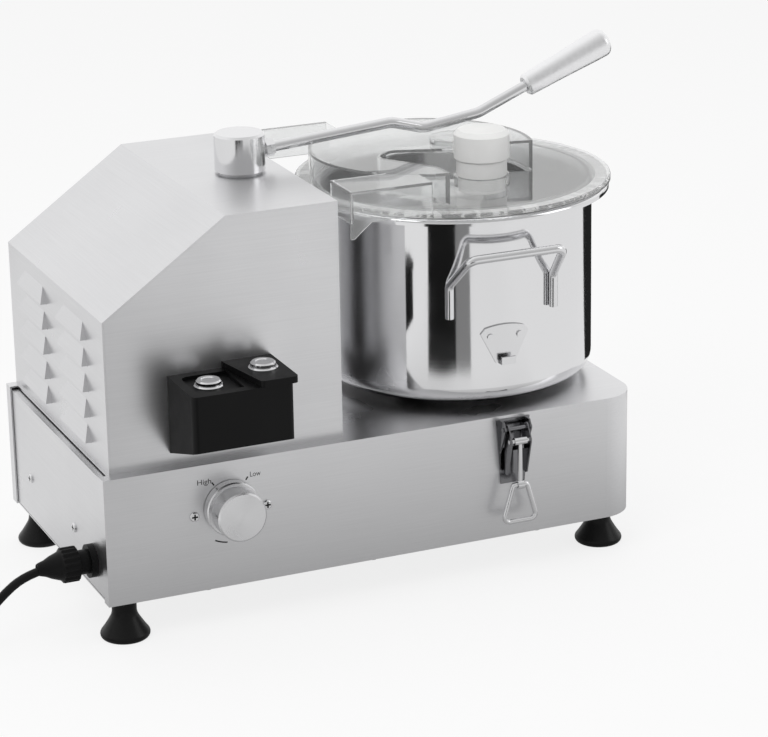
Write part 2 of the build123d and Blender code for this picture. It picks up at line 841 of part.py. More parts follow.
def keeper_rivets(front):
    """Two domed rivets through the keeper into the bowl wall."""
    radius = bowl_radius + fitting_gap + keeper_thickness
    with BuildPart() as rivets:
        for side in (-1, 1):
            x = fitting_offset + side * (keeper_top_half - 9)
            y = on_bowl(x, radius)
            direction = (x / radius, front * y / radius, 0)
            start = (bowl_x + x, bowl_y + front * y, bowl_z + keeper_bottom_z + keeper_height - 11)
            rod(start, direction, rivet_head, rivet_radius)
    return rivets.part


with BuildPart() as bowl_handles:
    for front in (-1, 1):
        add(bowl_handle(front))
save(bowl_handles.part, "bowl_handles")

with BuildPart() as bowl_keepers:
    for front in (-1, 1):
        add(bowl_keeper(front))
        add(keeper_rivets(front))
save(bowl_keepers.part, "bowl_keepers")

# ---------------------------------------------------------------- blade assembly
hub_bore = hub_radius - hub_wall
lower_blade_z = hub_bottom + hub_flange
upper_blade_z = lower_blade_z + blade_thickness + blade_spacer
collar_z = upper_blade_z + blade_thickness

with BuildPart() as blade_hub:
    turn(bowl_x, bowl_y, [
        (hub_bore, hub_bottom),
        (hub_flange_radius, hub_bottom),
        (hub_flange_radius, hub_bottom + hub_flange),
        (hub_radius - running_fit, hub_bottom + hub_flange),
        (hub_radius - running_fit, collar_z + blade_collar),
        (hub_radius - 1.5, collar_z + blade_collar + 6),
        (hub_radius - 1.5, hub_top - hub_cap - 2),
        (hub_cap_radius, hub_top - hub_cap),
        (hub_cap_radius, hub_top - 2),
        (hub_cap_radius - 2, hub_top),
        (screw_radius + 1.2, hub_top),
        (screw_radius + 1.2, hub_top - hub_cap + 6 + 0.3),
        (spindle_radius + running_fit, hub_top - hub_cap + 6 + 0.3),
        (spindle_radius + running_fit, hub_top - hub_cap - 12),
        (hub_bore, hub_top - hub_cap - 20),
    ])
save(blade_hub.part, "blade_hub")

with BuildPart() as hub_screw:
    post(bowl_x, bowl_y, hub_top - 0.0, hub_top + 2.5, 7)
    post(bowl_x, bowl_y, hub_top - hub_cap + 6.6, hub_top, screw_radius + 1)
save(hub_screw.part, "hub_screw")


def blade(z, heading, width_share):
    """A sickle blade round the hub: a ring with a curved, one side ground arm."""
    turned_x = Vector(cos(radians(heading)), sin(radians(heading)), 0)
    plane = Plane(origin=(bowl_x, bowl_y, z), x_dir=turned_x, z_dir=(0, 0, 1))
    ring = hub_flange_radius - 1
    tip = (blade_reach * 0.80, blade_reach * 0.60)
    with BuildPart() as knife:
        with BuildSketch(plane):
            with BuildLine():
                back = ThreePointArc((-ring * 0.94, ring * 0.30), (-2, ring + 30 * width_share), tip)
                cut = ThreePointArc(tip, (ring + 24, ring * 0.62), (ring * 0.98, -ring * 0.10))
                Line(cut @ 1, back @ 0)
            make_face()
            Circle(ring)
            Circle(hub_radius + running_fit, mode=Mode.SUBTRACT)
        extrude(amount=blade_thickness)
        edge = knife.edges().filter_by(GeomType.CIRCLE).group_by(Axis.Z)[-1].sort_by(
            SortBy.LENGTH)[-1]
        chamfer(edge, length=blade_bevel, length2=blade_bevel * 3)
    return knife.part


save(blade(lower_blade_z, 20, 1.0), "blade_lower")
save(blade(upper_blade_z, 200, 1.0), "blade_upper")

with BuildPart() as blade_spacer_ring:
    with BuildSketch(Plane.XY.offset(lower_blade_z + blade_thickness)):
        with Locations((bowl_x, bowl_y)):
            Circle(hub_flange_radius - 1)
            Circle(hub_radius + running_fit, mode=Mode.SUBTRACT)
    extrude(amount=blade_spacer)
save(blade_spacer_ring.part, "blade_spacer")

with BuildPart() as blade_collar_nut:
    with BuildSketch(Plane.XY.offset(collar_z)):
        with Locations((bowl_x, bowl_y)):
            Circle(hub_flange_radius - 1)
            Circle(hub_radius + running_fit, mode=Mode.SUBTRACT)
            with PolarLocations(hub_flange_radius - 1, 12):
                Circle(1.6, mode=Mode.SUBTRACT)
    extrude(amount=blade_collar)
save(blade_collar_nut.part, "blade_collar_nut")

# ---------------------------------------------------------------- lid
with BuildPart() as lid_gasket:
    with BuildSketch(Plane.XY.offset(bowl_top + 0.3)):
        with Locations((bowl_x, bowl_y)):
            Circle(bowl_rim_radius - 1)
            Circle(bowl_radius + 3, mode=Mode.SUBTRACT)
    extrude(amount=gasket - 0.3)
save(lid_gasket.part, "lid_gasket")


def plateau_sketch(z, inset):
    """The plateau's outline at a height, its walls moved in by inset, with the bay round the feed."""
    bay_left = plateau_x - 55
    with BuildSketch(Plane.XY.offset(z)) as drum:
        with Locations((plateau_x, bowl_y)):
            Circle(plateau_radius)
        with BuildSketch(Plane.XY.offset(z), mode=Mode.SUBTRACT) as bay:
            with BuildLine():
                Polyline(
                    (bay_left, bowl_y - 22),
                    (bay_left + 37, bowl_y - 76),
                    (bay_left + 37, bowl_y - 130),
                    (bowl_x + 110, bowl_y - 130),
                    (bowl_x + 110, bowl_y - 40),
                    (feed_x + 20, feed_y + 30),
                    (feed_x - 18, feed_y + 26),
                    (bay_left + 22, bowl_y - 5),
                    close=True,
                )
            make_face()
            fillet(bay.vertices(), radius=bay_corner_radius)
        if inset:
            offset(amount=-inset, kind=Kind.ARC)
    return drum.sketch


with BuildPart() as lid:
    with BuildSketch(Plane.XY.offset(lid_z)):
        with Locations((bowl_x, bowl_y)):
            Circle(lid_radius)
    extrude(amount=lid_thickness)
    lid_edge = lid.edges().filter_by(GeomType.CIRCLE).group_by(Axis.Z)[-1]
    fillet(lid_edge, radius=2)
    spigot = bowl_radius - bowl_wall - spigot_gap
    with BuildSketch(Plane.XY.offset(lid_z - spigot_depth)):
        with Locations((bowl_x, bowl_y)):
            Circle(spigot)
            Circle(spigot - lid_wall, mode=Mode.SUBTRACT)
    extrude(amount=spigot_depth)
    extrude(plateau_sketch(lid_top, 0), amount=plateau_height)
    for side in (-1, 1):
        y_outer = bowl_y + side * abs(bracket_front)
        y_inner = y_outer - side * bracket_depth
        x_span = (bowl_x + bracket_left, bowl_x + bracket_right)
        top_span = (plateau_top - lid_wall, plateau_top)
        slab(x_span, sorted((y_outer, y_inner)), top_span)
        wall_y = sorted((y_outer, y_outer - side * lid_wall))
        slab(x_span, wall_y, (lid_top, plateau_top))
        slab((x_span[0], x_span[0] + lid_wall), sorted((y_outer, y_inner)), (lid_top, plateau_top))
        with BuildSketch(Plane.XZ.offset(-wall_y[1])):
            with BuildLine():
                Polyline(
                    (x_span[0], lid_top),
                    (x_span[0] + bracket_tip, lid_top),
                    (x_span[0] + 3, lid_top - bracket_tip_drop),
                    (x_span[0], lid_top - bracket_tip_drop),
                    close=True,
                )
            make_face()
        extrude(amount=lid_wall)
    extrude(plateau_sketch(lid_z, lid_wall), amount=lid_thickness + plateau_height - lid_wall,
            mode=Mode.SUBTRACT)
    post(bowl_x, bowl_y, plateau_top - lid_wall, plateau_top + boss_height, boss_radius)
    post(bowl_x, bowl_y, plateau_top - lid_wall, plateau_top + boss_height - 2, boss_radius - 4,
         Mode.SUBTRACT)
    post(feed_x, feed_y, lid_z, collar_top, feed_radius + feed_collar_wall)
    post(feed_x, feed_y, lid_z, collar_top, feed_radius, Mode.SUBTRACT)
save(lid.part, "lid")

with BuildPart() as feed_plug:
    spigot_r = feed_radius - plug_gap
    neck_top = collar_top + 0.3 + plug_neck
    turn(feed_x, feed_y, [
        (0, collar_top - plug_spigot),
        (spigot_r - 1, collar_top - plug_spigot),
        (spigot_r, collar_top - plug_spigot + 1),
        (spigot_r, collar_top + 0.3),
        (plug_neck_radius, collar_top + 0.3),
        (plug_neck_radius, neck_top),
        (plug_cap_radius - 1, neck_top),
        (plug_cap_radius, neck_top + 1),
        (plug_cap_radius, neck_top + plug_cap - 4),
        (plug_cap_radius - 4, neck_top + plug_cap),
        (0, neck_top + plug_cap),
    ])
save(feed_plug.part, "feed_plug")

# ---------------------------------------------------------------- lever
bush_flange = 2
post_foot = roof + bush_flange + post_gap
post_top = post_foot + post_height
with BuildPart() as lever_bush:
    turn(post_x, post_y, [
        (pivot_radius + running_fit, roof - 26),
        (15, roof - 26),
        (15, roof),
        (20, roof),
        (20, roof + bush_flange),
        (pivot_radius + running_fit, roof + bush_flange),
    ])
save(lever_bush.part, "lever_bush")

with BuildPart() as lever_post:
    post(post_x, post_y, post_foot, post_top, post_radius)
    rims = lever_post.edges().filter_by(GeomType.CIRCLE)
    chamfer(rims.sort_by(Axis.Z)[-1], length=post_chamfer)
    post(post_x, post_y, post_foot - pivot_length, post_foot, pivot_radius)
    with BuildSketch(Plane.XY.offset(post_foot - pivot_length)):
        with Locations((post_x, post_y)):
            Circle(pivot_radius + 5)
            with Locations((pivot_radius + 4, 0)):
                Circle(6)
            make_hull()
    extrude(amount=8)
    rod(arm_start, arm_direction, thread_length + 3, arm_radius + 0.1, Mode.SUBTRACT)
save(lever_post.part, "lever_post")

grip_direction = Vector(cos(grip_slope), 0, sin(grip_slope))
grip_origin = Vector(post_x + grip_start[0], post_y, roof + grip_start[1])
arm_end = grip_origin + grip_direction * arm_in_grip
with BuildPart() as lever_arm:
    with BuildLine() as bent:
        FilletPolyline(
            arm_start,
            arm_first_bend,
            (post_x + arm_dip[0], post_y, roof + arm_dip[1]),
            (post_x + arm_rise[0], post_y, roof + arm_rise[1]),
            tuple(arm_end),
            radius=arm_bend_radius,
        )
    with BuildSketch(Plane(origin=arm_start, z_dir=arm_direction)):
        Circle(arm_radius)
    sweep(path=bent.line)
save(lever_arm.part, "lever_arm")

nut_origin = Vector(*arm_start) + arm_direction * (thread_length + 1)
with BuildPart() as arm_lock_nut:
    with BuildSketch(Plane(origin=nut_origin, z_dir=arm_direction)):
        RegularPolygon(lock_nut_radius, 6)
        Circle(arm_radius + running_fit, mode=Mode.SUBTRACT)
    extrude(amount=lock_nut)
save(arm_lock_nut.part, "arm_lock_nut")

with BuildPart() as lever_grip:
    grip_plane = Plane(origin=grip_origin, x_dir=(0, 1, 0), z_dir=grip_direction)
    side_plane = Plane(origin=grip_origin, x_dir=Vector(-sin(grip_slope), 0, cos(grip_slope)),
                       z_dir=(0, 1, 0))
    with BuildSketch(side_plane):
        with BuildLine():
            run = Polyline((0, 0), (grip_start_radius - 2, 0))
            lip = Line(run @ 1, (grip_start_radius, 2))
            swell = Spline(
                lip @ 1,
                (grip_waist_radius, grip_length * 0.35),
                (grip_end_radius, grip_length - 8),
                tangents=((0.05, 1), (0.02, 1)),
            )
            nose = ThreePointArc(
                swell @ 1,
                (grip_end_radius - 2, grip_length - 2),
                (grip_end_radius - 7, grip_length),
            )
            Polyline(nose @ 1, (0, grip_length), (0, 0))
        make_face()
    revolve(axis=Axis(grip_origin, grip_direction))
    with BuildSketch(grip_plane):
        Circle(arm_radius + 0.1)
    extrude(amount=arm_in_grip + 0.5, mode=Mode.SUBTRACT)
save(lever_grip.part, "lever_grip")

with BuildPart() as interlock_switch:
    switch_x = post_x + pivot_radius + 15
    slab((switch_x, switch_x + 12), (post_y - 15, post_y + 15), (roof - sheet - 30, roof - sheet))
save(interlock_switch.part, "interlock_switch")

# ---------------------------------------------------------------- start and stop switch
box_left = base_left + switch_left
box_right = base_left + switch_right
box_top = deck + switch_top
box_front = housing_front - switch_reach
button_y = housing_front - button_setback
tray_z = box_top - switch_tray_depth
cap_z = box_top + switch_cap_height
button_places = {
    "start": (base_left + start_button_x, button_y, tray_z),
    "stop": (base_left + stop_button_x, button_y, cap_z),
}
well_depth = button_stem + button_travel + 1

with BuildPart() as switch_box:
    with BuildSketch(Plane.YZ.offset(box_left)):
        with BuildLine():
            Polyline(
                (housing_front, deck + switch_bottom_back),
                (housing_front, box_top),
                (box_front, box_top),
                (box_front, deck + switch_bottom_front),
                close=True,
            )
        make_face()
    extrude(amount=box_right - box_left)
    upright = switch_box.edges().filter_by(Axis.Z).group_by(Axis.Y)[0]
    fillet(upright, radius=switch_corner)
    with BuildSketch(Plane.XY.offset(tray_z)) as tray:
        with Locations((box_left + 8, box_front + 9)):
            tray_width = base_left + switch_cap_left - box_left - 8
            Rectangle(tray_width, switch_reach - 18, align=(Align.MIN, Align.MIN))
        fillet(tray.vertices().group_by(Axis.X)[0], radius=8)
    extrude(amount=switch_tray_depth, mode=Mode.SUBTRACT)
    post(*button_places["start"][:2], tray_z - well_depth, tray_z,
         button_radius + button_gap, Mode.SUBTRACT)
    post(*button_places["stop"][:2], cap_z - well_depth, box_top,
         button_radius + button_gap, Mode.SUBTRACT)
save(switch_box.part, "switch_box")

with BuildPart() as switch_cap:
    with BuildSketch(Plane.XY.offset(box_top)) as cap:
        cap_left = base_left + switch_cap_left
        cap_right = box_right + switch_cap_overhang
        cap_front = box_front - 1
        with BuildLine():
            Polyline(
                (cap_left, housing_front),
                (cap_right, housing_front),
                (cap_right, cap_front),
                (cap_left + 12, cap_front),
                close=True,
            )
        make_face()
    extrude(amount=switch_cap_height)
    fillet(switch_cap.edges().filter_by(Axis.Z).group_by(Axis.Y)[0], radius=4)
    post(*button_places["stop"][:2], box_top, cap_z, button_radius + button_gap, Mode.SUBTRACT)
save(switch_cap.part, "switch_cap")

with BuildPart() as button_bezels:
    for x, y, z in button_places.values():
        turn(x, y, [
            (button_radius + button_gap, z),
            (button_bezel_radius, z),
            (button_bezel_radius, z + button_bezel_height - 1),
            (button_bezel_radius - 1, z + button_bezel_height),
            (button_radius + button_gap, z + button_bezel_height),
        ])
save(button_bezels.part, "button_bezels")

for name, (x, y, z) in button_places.items():
    with BuildPart() as button:
        rest = z + button_bezel_height + button_height
        turn(x, y, [
            (0, z - button_stem + button_travel),
            (button_radius - 2, z - button_stem + button_travel),
            (button_radius - 2, z - 2),
            (button_radius, z - 2),
            (button_radius, rest - 1.2),
            (button_radius - 1.2, rest),
            (button_radius - 4, rest),
            (button_radius - 5, rest - 0.8),
            (0, rest - 0.8),
        ])
    save(button.part, f"{name}_button")

# ---------------------------------------------------------------- speed control
knob_front_y = knob_face_gap - knob_depth
with BuildPart() as speed_knob:
    knob_axis = Axis((knob_centre[0], 0, knob_centre[1]), (0, -1, 0))
    with BuildSketch(Plane.XY.offset(knob_centre[1])):
        with BuildLine():
            x = knob_centre[0]
            y = knob_face_gap
            Polyline(
                (x + knob_shaft_radius + running_fit, y),
                (x + knob_skirt_radius, y),
                (x + knob_skirt_radius, y - knob_skirt + 1),
                (x + knob_skirt_radius - 1, y - knob_skirt),
                (x + knob_radius, y - knob_skirt),
                (x + knob_radius, knob_front_y + 1.5),
                (x + knob_radius - 1.5, knob_front_y),
                (x, knob_front_y),
                (x, knob_front_y + 8),
                (x + knob_shaft_radius + running_fit, knob_front_y + 8),
                close=True,
            )
        make_face()
    revolve(axis=knob_axis)
save(speed_knob.part, "speed_knob")

with BuildPart() as speed_shaft:
    shaft_start = (knob_centre[0], base_front + sheet + pot_depth - 4, knob_centre[1])
    shaft_length = shaft_start[1] - (knob_front_y + 8.5)
    rod(shaft_start, (0, -1, 0), shaft_length, knob_shaft_radius)
save(speed_shaft.part, "speed_control_shaft")

with BuildPart() as speed_control:
    back_y = base_front + sheet + 0.3
    rod((knob_centre[0], back_y, knob_centre[1]), (0, 1, 0), pot_depth, pot_radius)
    rod((knob_centre[0], back_y, knob_centre[1]), (0, 1, 0), pot_depth - 3,
        knob_shaft_radius + running_fit, Mode.SUBTRACT)
    slab((knob_centre[0] - pot_screw_offset - 6, knob_centre[0] + pot_screw_offset + 6),
         (back_y, back_y + 2), (knob_centre[1] - 12, knob_centre[1] + 8))
    rod((knob_centre[0], back_y, knob_centre[1]), (0, 1, 0), 2.1,
        knob_shaft_radius + running_fit, Mode.SUBTRACT)
    for side in (-1, 1):
        start = (knob_centre[0] + side * pot_screw_offset, back_y, knob_centre[1] - 4)
        rod(start, (0, 1, 0), 2, screw_radius + bolt_clearance, Mode.SUBTRACT)
save(speed_control.part, "speed_control")

with BuildPart() as case_screws:
    for x, y in bottom_screw_places:
        rod((x, y, foot_height), (0, 0, -1), screw_head, screw_head_radius)
        rod((x, y, foot_height), (0, 0, 1), screw_length, screw_radius)
    for y, z in end_screw_places:
        rod((end_plate_face, y, z), (-1, 0, 0), screw_head, screw_head_radius)
        rod((end_plate_face, y, z), (1, 0, 0), screw_length, screw_radius)
    for x, y in housing_screw_places:
        rod((x, y, deck - sheet), (0, 0, -1), screw_head, screw_head_radius)
        rod((x, y, deck - sheet), (0, 0, 1), screw_length, screw_radius)
    for x, y in bearing_screw_places:
        rod((x, y, deck - sheet - 6), (0, 0, -1), screw_head, screw_head_radius)
    for side in (-1, 1):
        start = (knob_centre[0] + side * pot_screw_offset, base_front, knob_centre[1] - 4)
        rod(start, (0, -1, 0), screw_head, screw_head_radius)
        rod(start, (0, 1, 0), screw_length, screw_radius)
save(case_screws.part, "case_screws")

with BuildPart() as control_board:
    board_left = base_left + board_from_left
    board_y = base_front + board_setback
    board_low = foot_height + sheet
    slab((board_left, board_left + board_length), (board_y, board_y + board_thickness),
         (board_low, board_low + board_height))
    for step in range(board_cells):
        x = board_left + board_length * (step + 0.5) / board_cells
        rod((x, board_y + board_thickness, board_low + 0.6 * board_height), (0, 1, 0),
            board_cell_height, board_cell_radius)
save(control_board.part, "control_board")

with BuildPart() as run_capacitor:
    post(base_left + capacitor_from_left, base_back - capacitor_inset, deck,
         deck + capacitor_height, capacitor_radius)
    top_edge = run_capacitor.edges().filter_by(GeomType.CIRCLE).sort_by(Axis.Z)[-1]
    fillet(top_edge, radius=2)
save(run_capacitor.part, "run_capacitor")


# ---------------------------------------------------------------- latches
latch_bodies = []


def latch(name, wall_y, out):
    """A toggle latch on a base wall; out is -1 on the front wall and 1 on the rear wall."""
    plate_top = deck - latch_plate_top
    plate_bottom = plate_top - latch_plate_height
    pivot_y = wall_y + out * latch_pivot_reach
    pivot_z = deck - latch_pivot_drop
    link_y = wall_y + out * latch_link_reach
    link_z = deck - latch_link_drop
    side_plane = Plane(origin=(fitting_x, wall_y, 0), x_dir=(0, out, 0),
                       z_dir=Vector(0, out, 0).cross(Vector(0, 0, 1)))

    with BuildPart() as body:
        with BuildSketch(Plane.XZ.offset(-wall_y)):
            with BuildLine():
                Polyline(
                    (fitting_x - latch_plate_half, plate_top),
                    (fitting_x + latch_plate_half, plate_top),
                    (fitting_x + latch_cheek_half, plate_bottom),
                    (fitting_x - latch_cheek_half, plate_bottom),
                    close=True,
                )
            make_face()
        extrude(amount=-out * latch_plate)
        for side in (-1, 1):
            cheek = Plane(origin=(fitting_x + side * (latch_cheek_half + 0.75), wall_y, 0),
                          x_dir=(0, out, 0), z_dir=side_plane.z_dir)
            with BuildSketch(cheek):
                with BuildLine():
                    Polyline(
                        (latch_plate - 0.5, plate_top),
                        (latch_pivot_reach, plate_top),
                        (latch_pivot_reach + 4, pivot_z),
                        (latch_pivot_reach - 1, pivot_z - 12),
                        (latch_plate - 0.5, pivot_z - 26),
                        close=True,
                    )
                make_face()
                with Locations((latch_pivot_reach, pivot_z)):
                    Circle(latch_pin_radius + 0.05, mode=Mode.SUBTRACT)
            extrude(amount=0.75, both=True)
    latch_bodies.append(body.part)

    with BuildPart() as pin:
        half = latch_cheek_half + 2.5
        rod((fitting_x - half, pivot_y, pivot_z), (1, 0, 0), 2 * half, latch_pin_radius)
    latch_bodies.append(pin.part)

    with BuildPart() as lever:
        lever_low = pivot_z - latch_lever_length
        for side in (-1, 1):
            arm = Plane(origin=(fitting_x + side * (latch_lever_half + 0.6), wall_y, 0),
                        x_dir=(0, out, 0), z_dir=side_plane.z_dir)
            with BuildSketch(arm):
                with Locations((latch_pivot_reach, pivot_z)):
                    Circle(4.5)
                with Locations((latch_link_reach, link_z)):
                    Circle(3.8)
                with Locations((latch_pivot_reach - 1, lever_low + 3)):
                    Circle(3)
                make_hull()
                with Locations((latch_pivot_reach, pivot_z)):
                    Circle(latch_pin_radius + pin_gap, mode=Mode.SUBTRACT)
                with Locations((latch_link_reach, link_z)):
                    Circle(latch_pin_radius + pin_gap, mode=Mode.SUBTRACT)
            extrude(amount=0.6, both=True)
        back_y = wall_y + out * (latch_pivot_reach - 4)
        slab((fitting_x - latch_lever_half, fitting_x + latch_lever_half),
             sorted((back_y, back_y + out * 1.2)), (lever_low, pivot_z - 22))
    save(lever.part, f"latch_lever_{name}")

    rod_low = link_z - latch_rod_length
    with BuildPart() as link:
        half = latch_lever_half + 2
        rod((fitting_x - half, link_y, link_z), (1, 0, 0), 2 * half, latch_pin_radius)
        rod((fitting_x - 6, link_y, link_z), (1, 0, 0), 12, latch_pin_radius + 1.5)
        rod((fitting_x, link_y, link_z), (0, 0, -1), latch_rod_length - 3, latch_rod_radius)
        rod((fitting_x - 3, link_y, rod_low), (1, 0, 0), 6, latch_ring_wire + 2)
        rod((fitting_x - 7, link_y, rod_low), (1, 0, 0), 14, latch_ring_wire + 0.3, Mode.SUBTRACT)
    save(link.part, f"latch_rod_{name}")

    ring_low = rod_low - latch_ring_height
    with BuildPart() as ring:
        corners = [
            (fitting_x + latch_ring_top_half, link_y, rod_low),
            (fitting_x + latch_ring_half, link_y, ring_low),
            (fitting_x - latch_ring_half, link_y, ring_low),
            (fitting_x - latch_ring_top_half, link_y, rod_low),
        ]
        with BuildLine() as wire:
            FilletPolyline(*corners, radius=[3, 5, 5, 3], close=True)
        with BuildSketch(Plane(origin=wire.line @ 0, z_dir=wire.line % 0)):
            Circle(latch_ring_wire)
        sweep(path=wire.line)
    save(ring.part, f"latch_ring_{name}")


latch("front", base_front, -1)
latch("rear", base_back, 1)
with BuildPart() as latch_bases:
    for piece in latch_bodies:
        add(piece)
save(latch_bases.part, "latch_bases")

# ---------------------------------------------------------------- mains lead
gland_y0, gland_z0 = gland_centre
with BuildPart() as gland_body:
    rod((end_plate_face, gland_y0, gland_z0), (-1, 0, 0), gland_flange, gland_flange_radius)
    neck_end = gland_reach - gland_nut + 8
    rod((end_plate_face, gland_y0, gland_z0), (-1, 0, 0), neck_end, gland_neck_radius)
    rod((end_plate_face, gland_y0, gland_z0), (1, 0, 0), gland_inner_length, gland_thread_radius)
    rod((end_plate_face + gland_inner_length, gland_y0, gland_z0), (-1, 0, 0),
        gland_inner_length + neck_end, cord_radius + cord_bore_gap, Mode.SUBTRACT)
save(gland_body.part, "gland_body")

gland_tip = base_left - gland_reach
with BuildPart() as gland_nut_piece:
    nut_start = (gland_tip + gland_nut, gland_y0, gland_z0)
    with BuildSketch(Plane(origin=nut_start, z_dir=(-1, 0, 0))):
        RegularPolygon(gland_nut_radius + 1, 12)
    extrude(amount=gland_nut - 7)
    with BuildSketch(Plane(origin=(gland_tip + 7, gland_y0, gland_z0), z_dir=(-1, 0, 0))):
        Circle(gland_nut_radius - 1)
    extrude(amount=7, taper=20)
    rod((gland_tip, gland_y0, gland_z0), (1, 0, 0), gland_nut, cord_radius + cord_bore_gap,
        Mode.SUBTRACT)
    rod((gland_tip + 12, gland_y0, gland_z0), (1, 0, 0), gland_nut,
        gland_neck_radius + running_fit, Mode.SUBTRACT)
save(gland_nut_piece.part, "gland_nut")

with BuildPart() as lock_nuts:
    with BuildSketch(Plane(origin=(end_plate_face + sheet, gland_y0, gland_z0), z_dir=(1, 0, 0))):
        RegularPolygon(gland_flange_radius, 6)
        Circle(gland_thread_radius + running_fit, mode=Mode.SUBTRACT)
    extrude(amount=5)
    with BuildSketch(Plane.XY.offset(roof - sheet - 8)):
        with Locations((post_x, post_y)):
            RegularPolygon(21, 6)
            Circle(15 + running_fit, mode=Mode.SUBTRACT)
    extrude(amount=8)
save(lock_nuts.part, "lock_nuts")

cord_route = [
    (gland_tip, gland_y0, gland_z0),
    (base_left - 60, gland_y0 - 0.5, gland_z0 - 2),
    (base_left - 86, gland_y0 - 3, gland_z0 - 19),
    (base_left - 108, gland_y0 - 7, gland_z0 - 41),
    (base_left - 131, gland_y0 - 12, cord_floor + 5),
    (base_left - 158, gland_y0 - 15, cord_floor),
    (base_left - 184, gland_y0 - 15, cord_floor),
]
cord_radii = bend_radii(cord_route)
with BuildPart() as cord_tube:
    with BuildLine() as lead:
        FilletPolyline(*cord_route, radius=cord_radii)
    with BuildSketch(Plane(origin=lead.line @ 0, z_dir=lead.line % 0)):
        Circle(cord_radius)
    sweep(path=lead.line)
save(cord_tube.part, "cord_tube")

coil_start_x, coil_start_y = cord_route[-1][:2]
coil_outer = coil_mid_radius + coil_columns * cord_radius
coil_inner = coil_mid_radius - coil_columns * cord_radius
coil_height = coil_rows * cord_diameter
coil_turn_radius = coil_outer - cord_radius
coil_x = coil_start_x - coil_lead_in
coil_y = coil_start_y - coil_turn_radius
coil_low = cord_floor - cord_radius
tail_x = coil_x - coil_turn_radius
tail_z = plug_body_radius + 0.2
tail_length = 36
with BuildPart() as cord_coil:
    with BuildSketch(Plane.XY.offset(coil_low)):
        with Locations((coil_x, coil_y)):
            Circle(coil_outer)
            Circle(coil_inner, mode=Mode.SUBTRACT)
    extrude(amount=coil_height)
    fillet(cord_coil.edges(), radius=cord_radius * 0.9)
    rod((coil_start_x, coil_start_y, cord_floor), (-1, 0, 0), coil_start_x - coil_x, cord_radius)
    rod((tail_x, coil_y, tail_z), (0, -1, 0), tail_length, cord_radius)
save(cord_coil.part, "cord_coil")

plug_y = coil_y - tail_length
with BuildPart() as mains_plug:
    plane = Plane(origin=(tail_x, plug_y, tail_z), z_dir=(0, -1, 0), x_dir=(1, 0, 0))
    with BuildSketch(plane) as relief_start:
        Circle(cord_radius + 1.5)
    with BuildSketch(plane.offset(plug_relief_length)) as relief_end:
        Circle(plug_body_radius * 0.55)
    loft()
    with BuildSketch(plane.offset(plug_relief_length)):
        Circle(plug_body_radius)
    extrude(amount=plug_body_length)
    back_edge = mains_plug.edges().filter_by(GeomType.CIRCLE).filter_by(
        lambda e: abs(e.radius - plug_body_radius) < 0.01).sort_by(Axis.Y)[-1]
    chamfer(back_edge, length=7)
    with BuildSketch(plane.offset(plug_relief_length + plug_body_length)):
        with Locations((-plug_pin_half_pitch, 0), (plug_pin_half_pitch, 0)):
            Circle(plug_pin_radius)
    extrude(amount=plug_pin_length)
save(mains_plug.part, "mains_plug")

# ---------------------------------------------------------------- cord facts
section = pi * cord_radius ** 2
lead_length = sum(edge.length for edge in lead.line.edges())
print("cord bend radii", [round(r, 1) for r in cord_radii])
print("cord tube volume / (section x length)",
      round(cord_tube.part.volume / (section * lead_length), 4))
print("cord length", round(lead_length + coil_turns * 2 * pi * coil_mid_radius + tail_length))
print("places", dict(
    base_left=base_left, base_front=base_front, deck=deck, bowl=(bowl_x, bowl_y, bowl_z),
    bowl_top=bowl_top, post=(post_x, post_y, roof), motor=(motor_x, motor_y),
    knob=knob_centre, fitting_x=fitting_x, base_back=base_back,
    feed=(feed_x, feed_y), buttons=button_places, coil=(coil_x, coil_y), tail_x=tail_x))
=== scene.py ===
"""Looks of the bowl cutter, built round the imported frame.  Metres, in the row's own frame."""
import math

import bmesh
import bpy
from mathutils import Matrix, Vector


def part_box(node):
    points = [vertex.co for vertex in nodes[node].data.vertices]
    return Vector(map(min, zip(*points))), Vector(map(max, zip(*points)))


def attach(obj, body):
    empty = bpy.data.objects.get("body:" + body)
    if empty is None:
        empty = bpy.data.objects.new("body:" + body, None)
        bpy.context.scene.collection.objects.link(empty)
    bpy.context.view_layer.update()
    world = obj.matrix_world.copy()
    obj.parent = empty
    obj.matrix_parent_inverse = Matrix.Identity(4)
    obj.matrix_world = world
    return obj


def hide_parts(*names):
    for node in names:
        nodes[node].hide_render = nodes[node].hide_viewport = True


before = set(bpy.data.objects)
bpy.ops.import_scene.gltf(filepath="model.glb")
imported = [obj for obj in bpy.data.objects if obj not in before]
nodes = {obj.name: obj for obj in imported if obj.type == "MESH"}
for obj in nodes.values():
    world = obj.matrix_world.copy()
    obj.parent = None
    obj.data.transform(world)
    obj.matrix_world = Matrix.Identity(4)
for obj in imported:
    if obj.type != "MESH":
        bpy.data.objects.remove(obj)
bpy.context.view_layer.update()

# ---------------------------------------------------------------- places, from the frame
base_low, base_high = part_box("base_casing")
knob_low, knob_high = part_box("speed_knob")
bowl_low, bowl_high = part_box("bowl")
nut_low, nut_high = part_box("gland_nut")
plug_low, plug_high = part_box("mains_plug")
coil_low, coil_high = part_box("cord_coil")
front = base_low.y
left = base_low.x
knob_x = (knob_low.x + knob_high.x) / 2
knob_z = (knob_low.z + knob_high.z) / 2
bowl_x = (bowl_low.x + bowl_high.x) / 2
bowl_y = (bowl_low.y + bowl_high.y) / 2


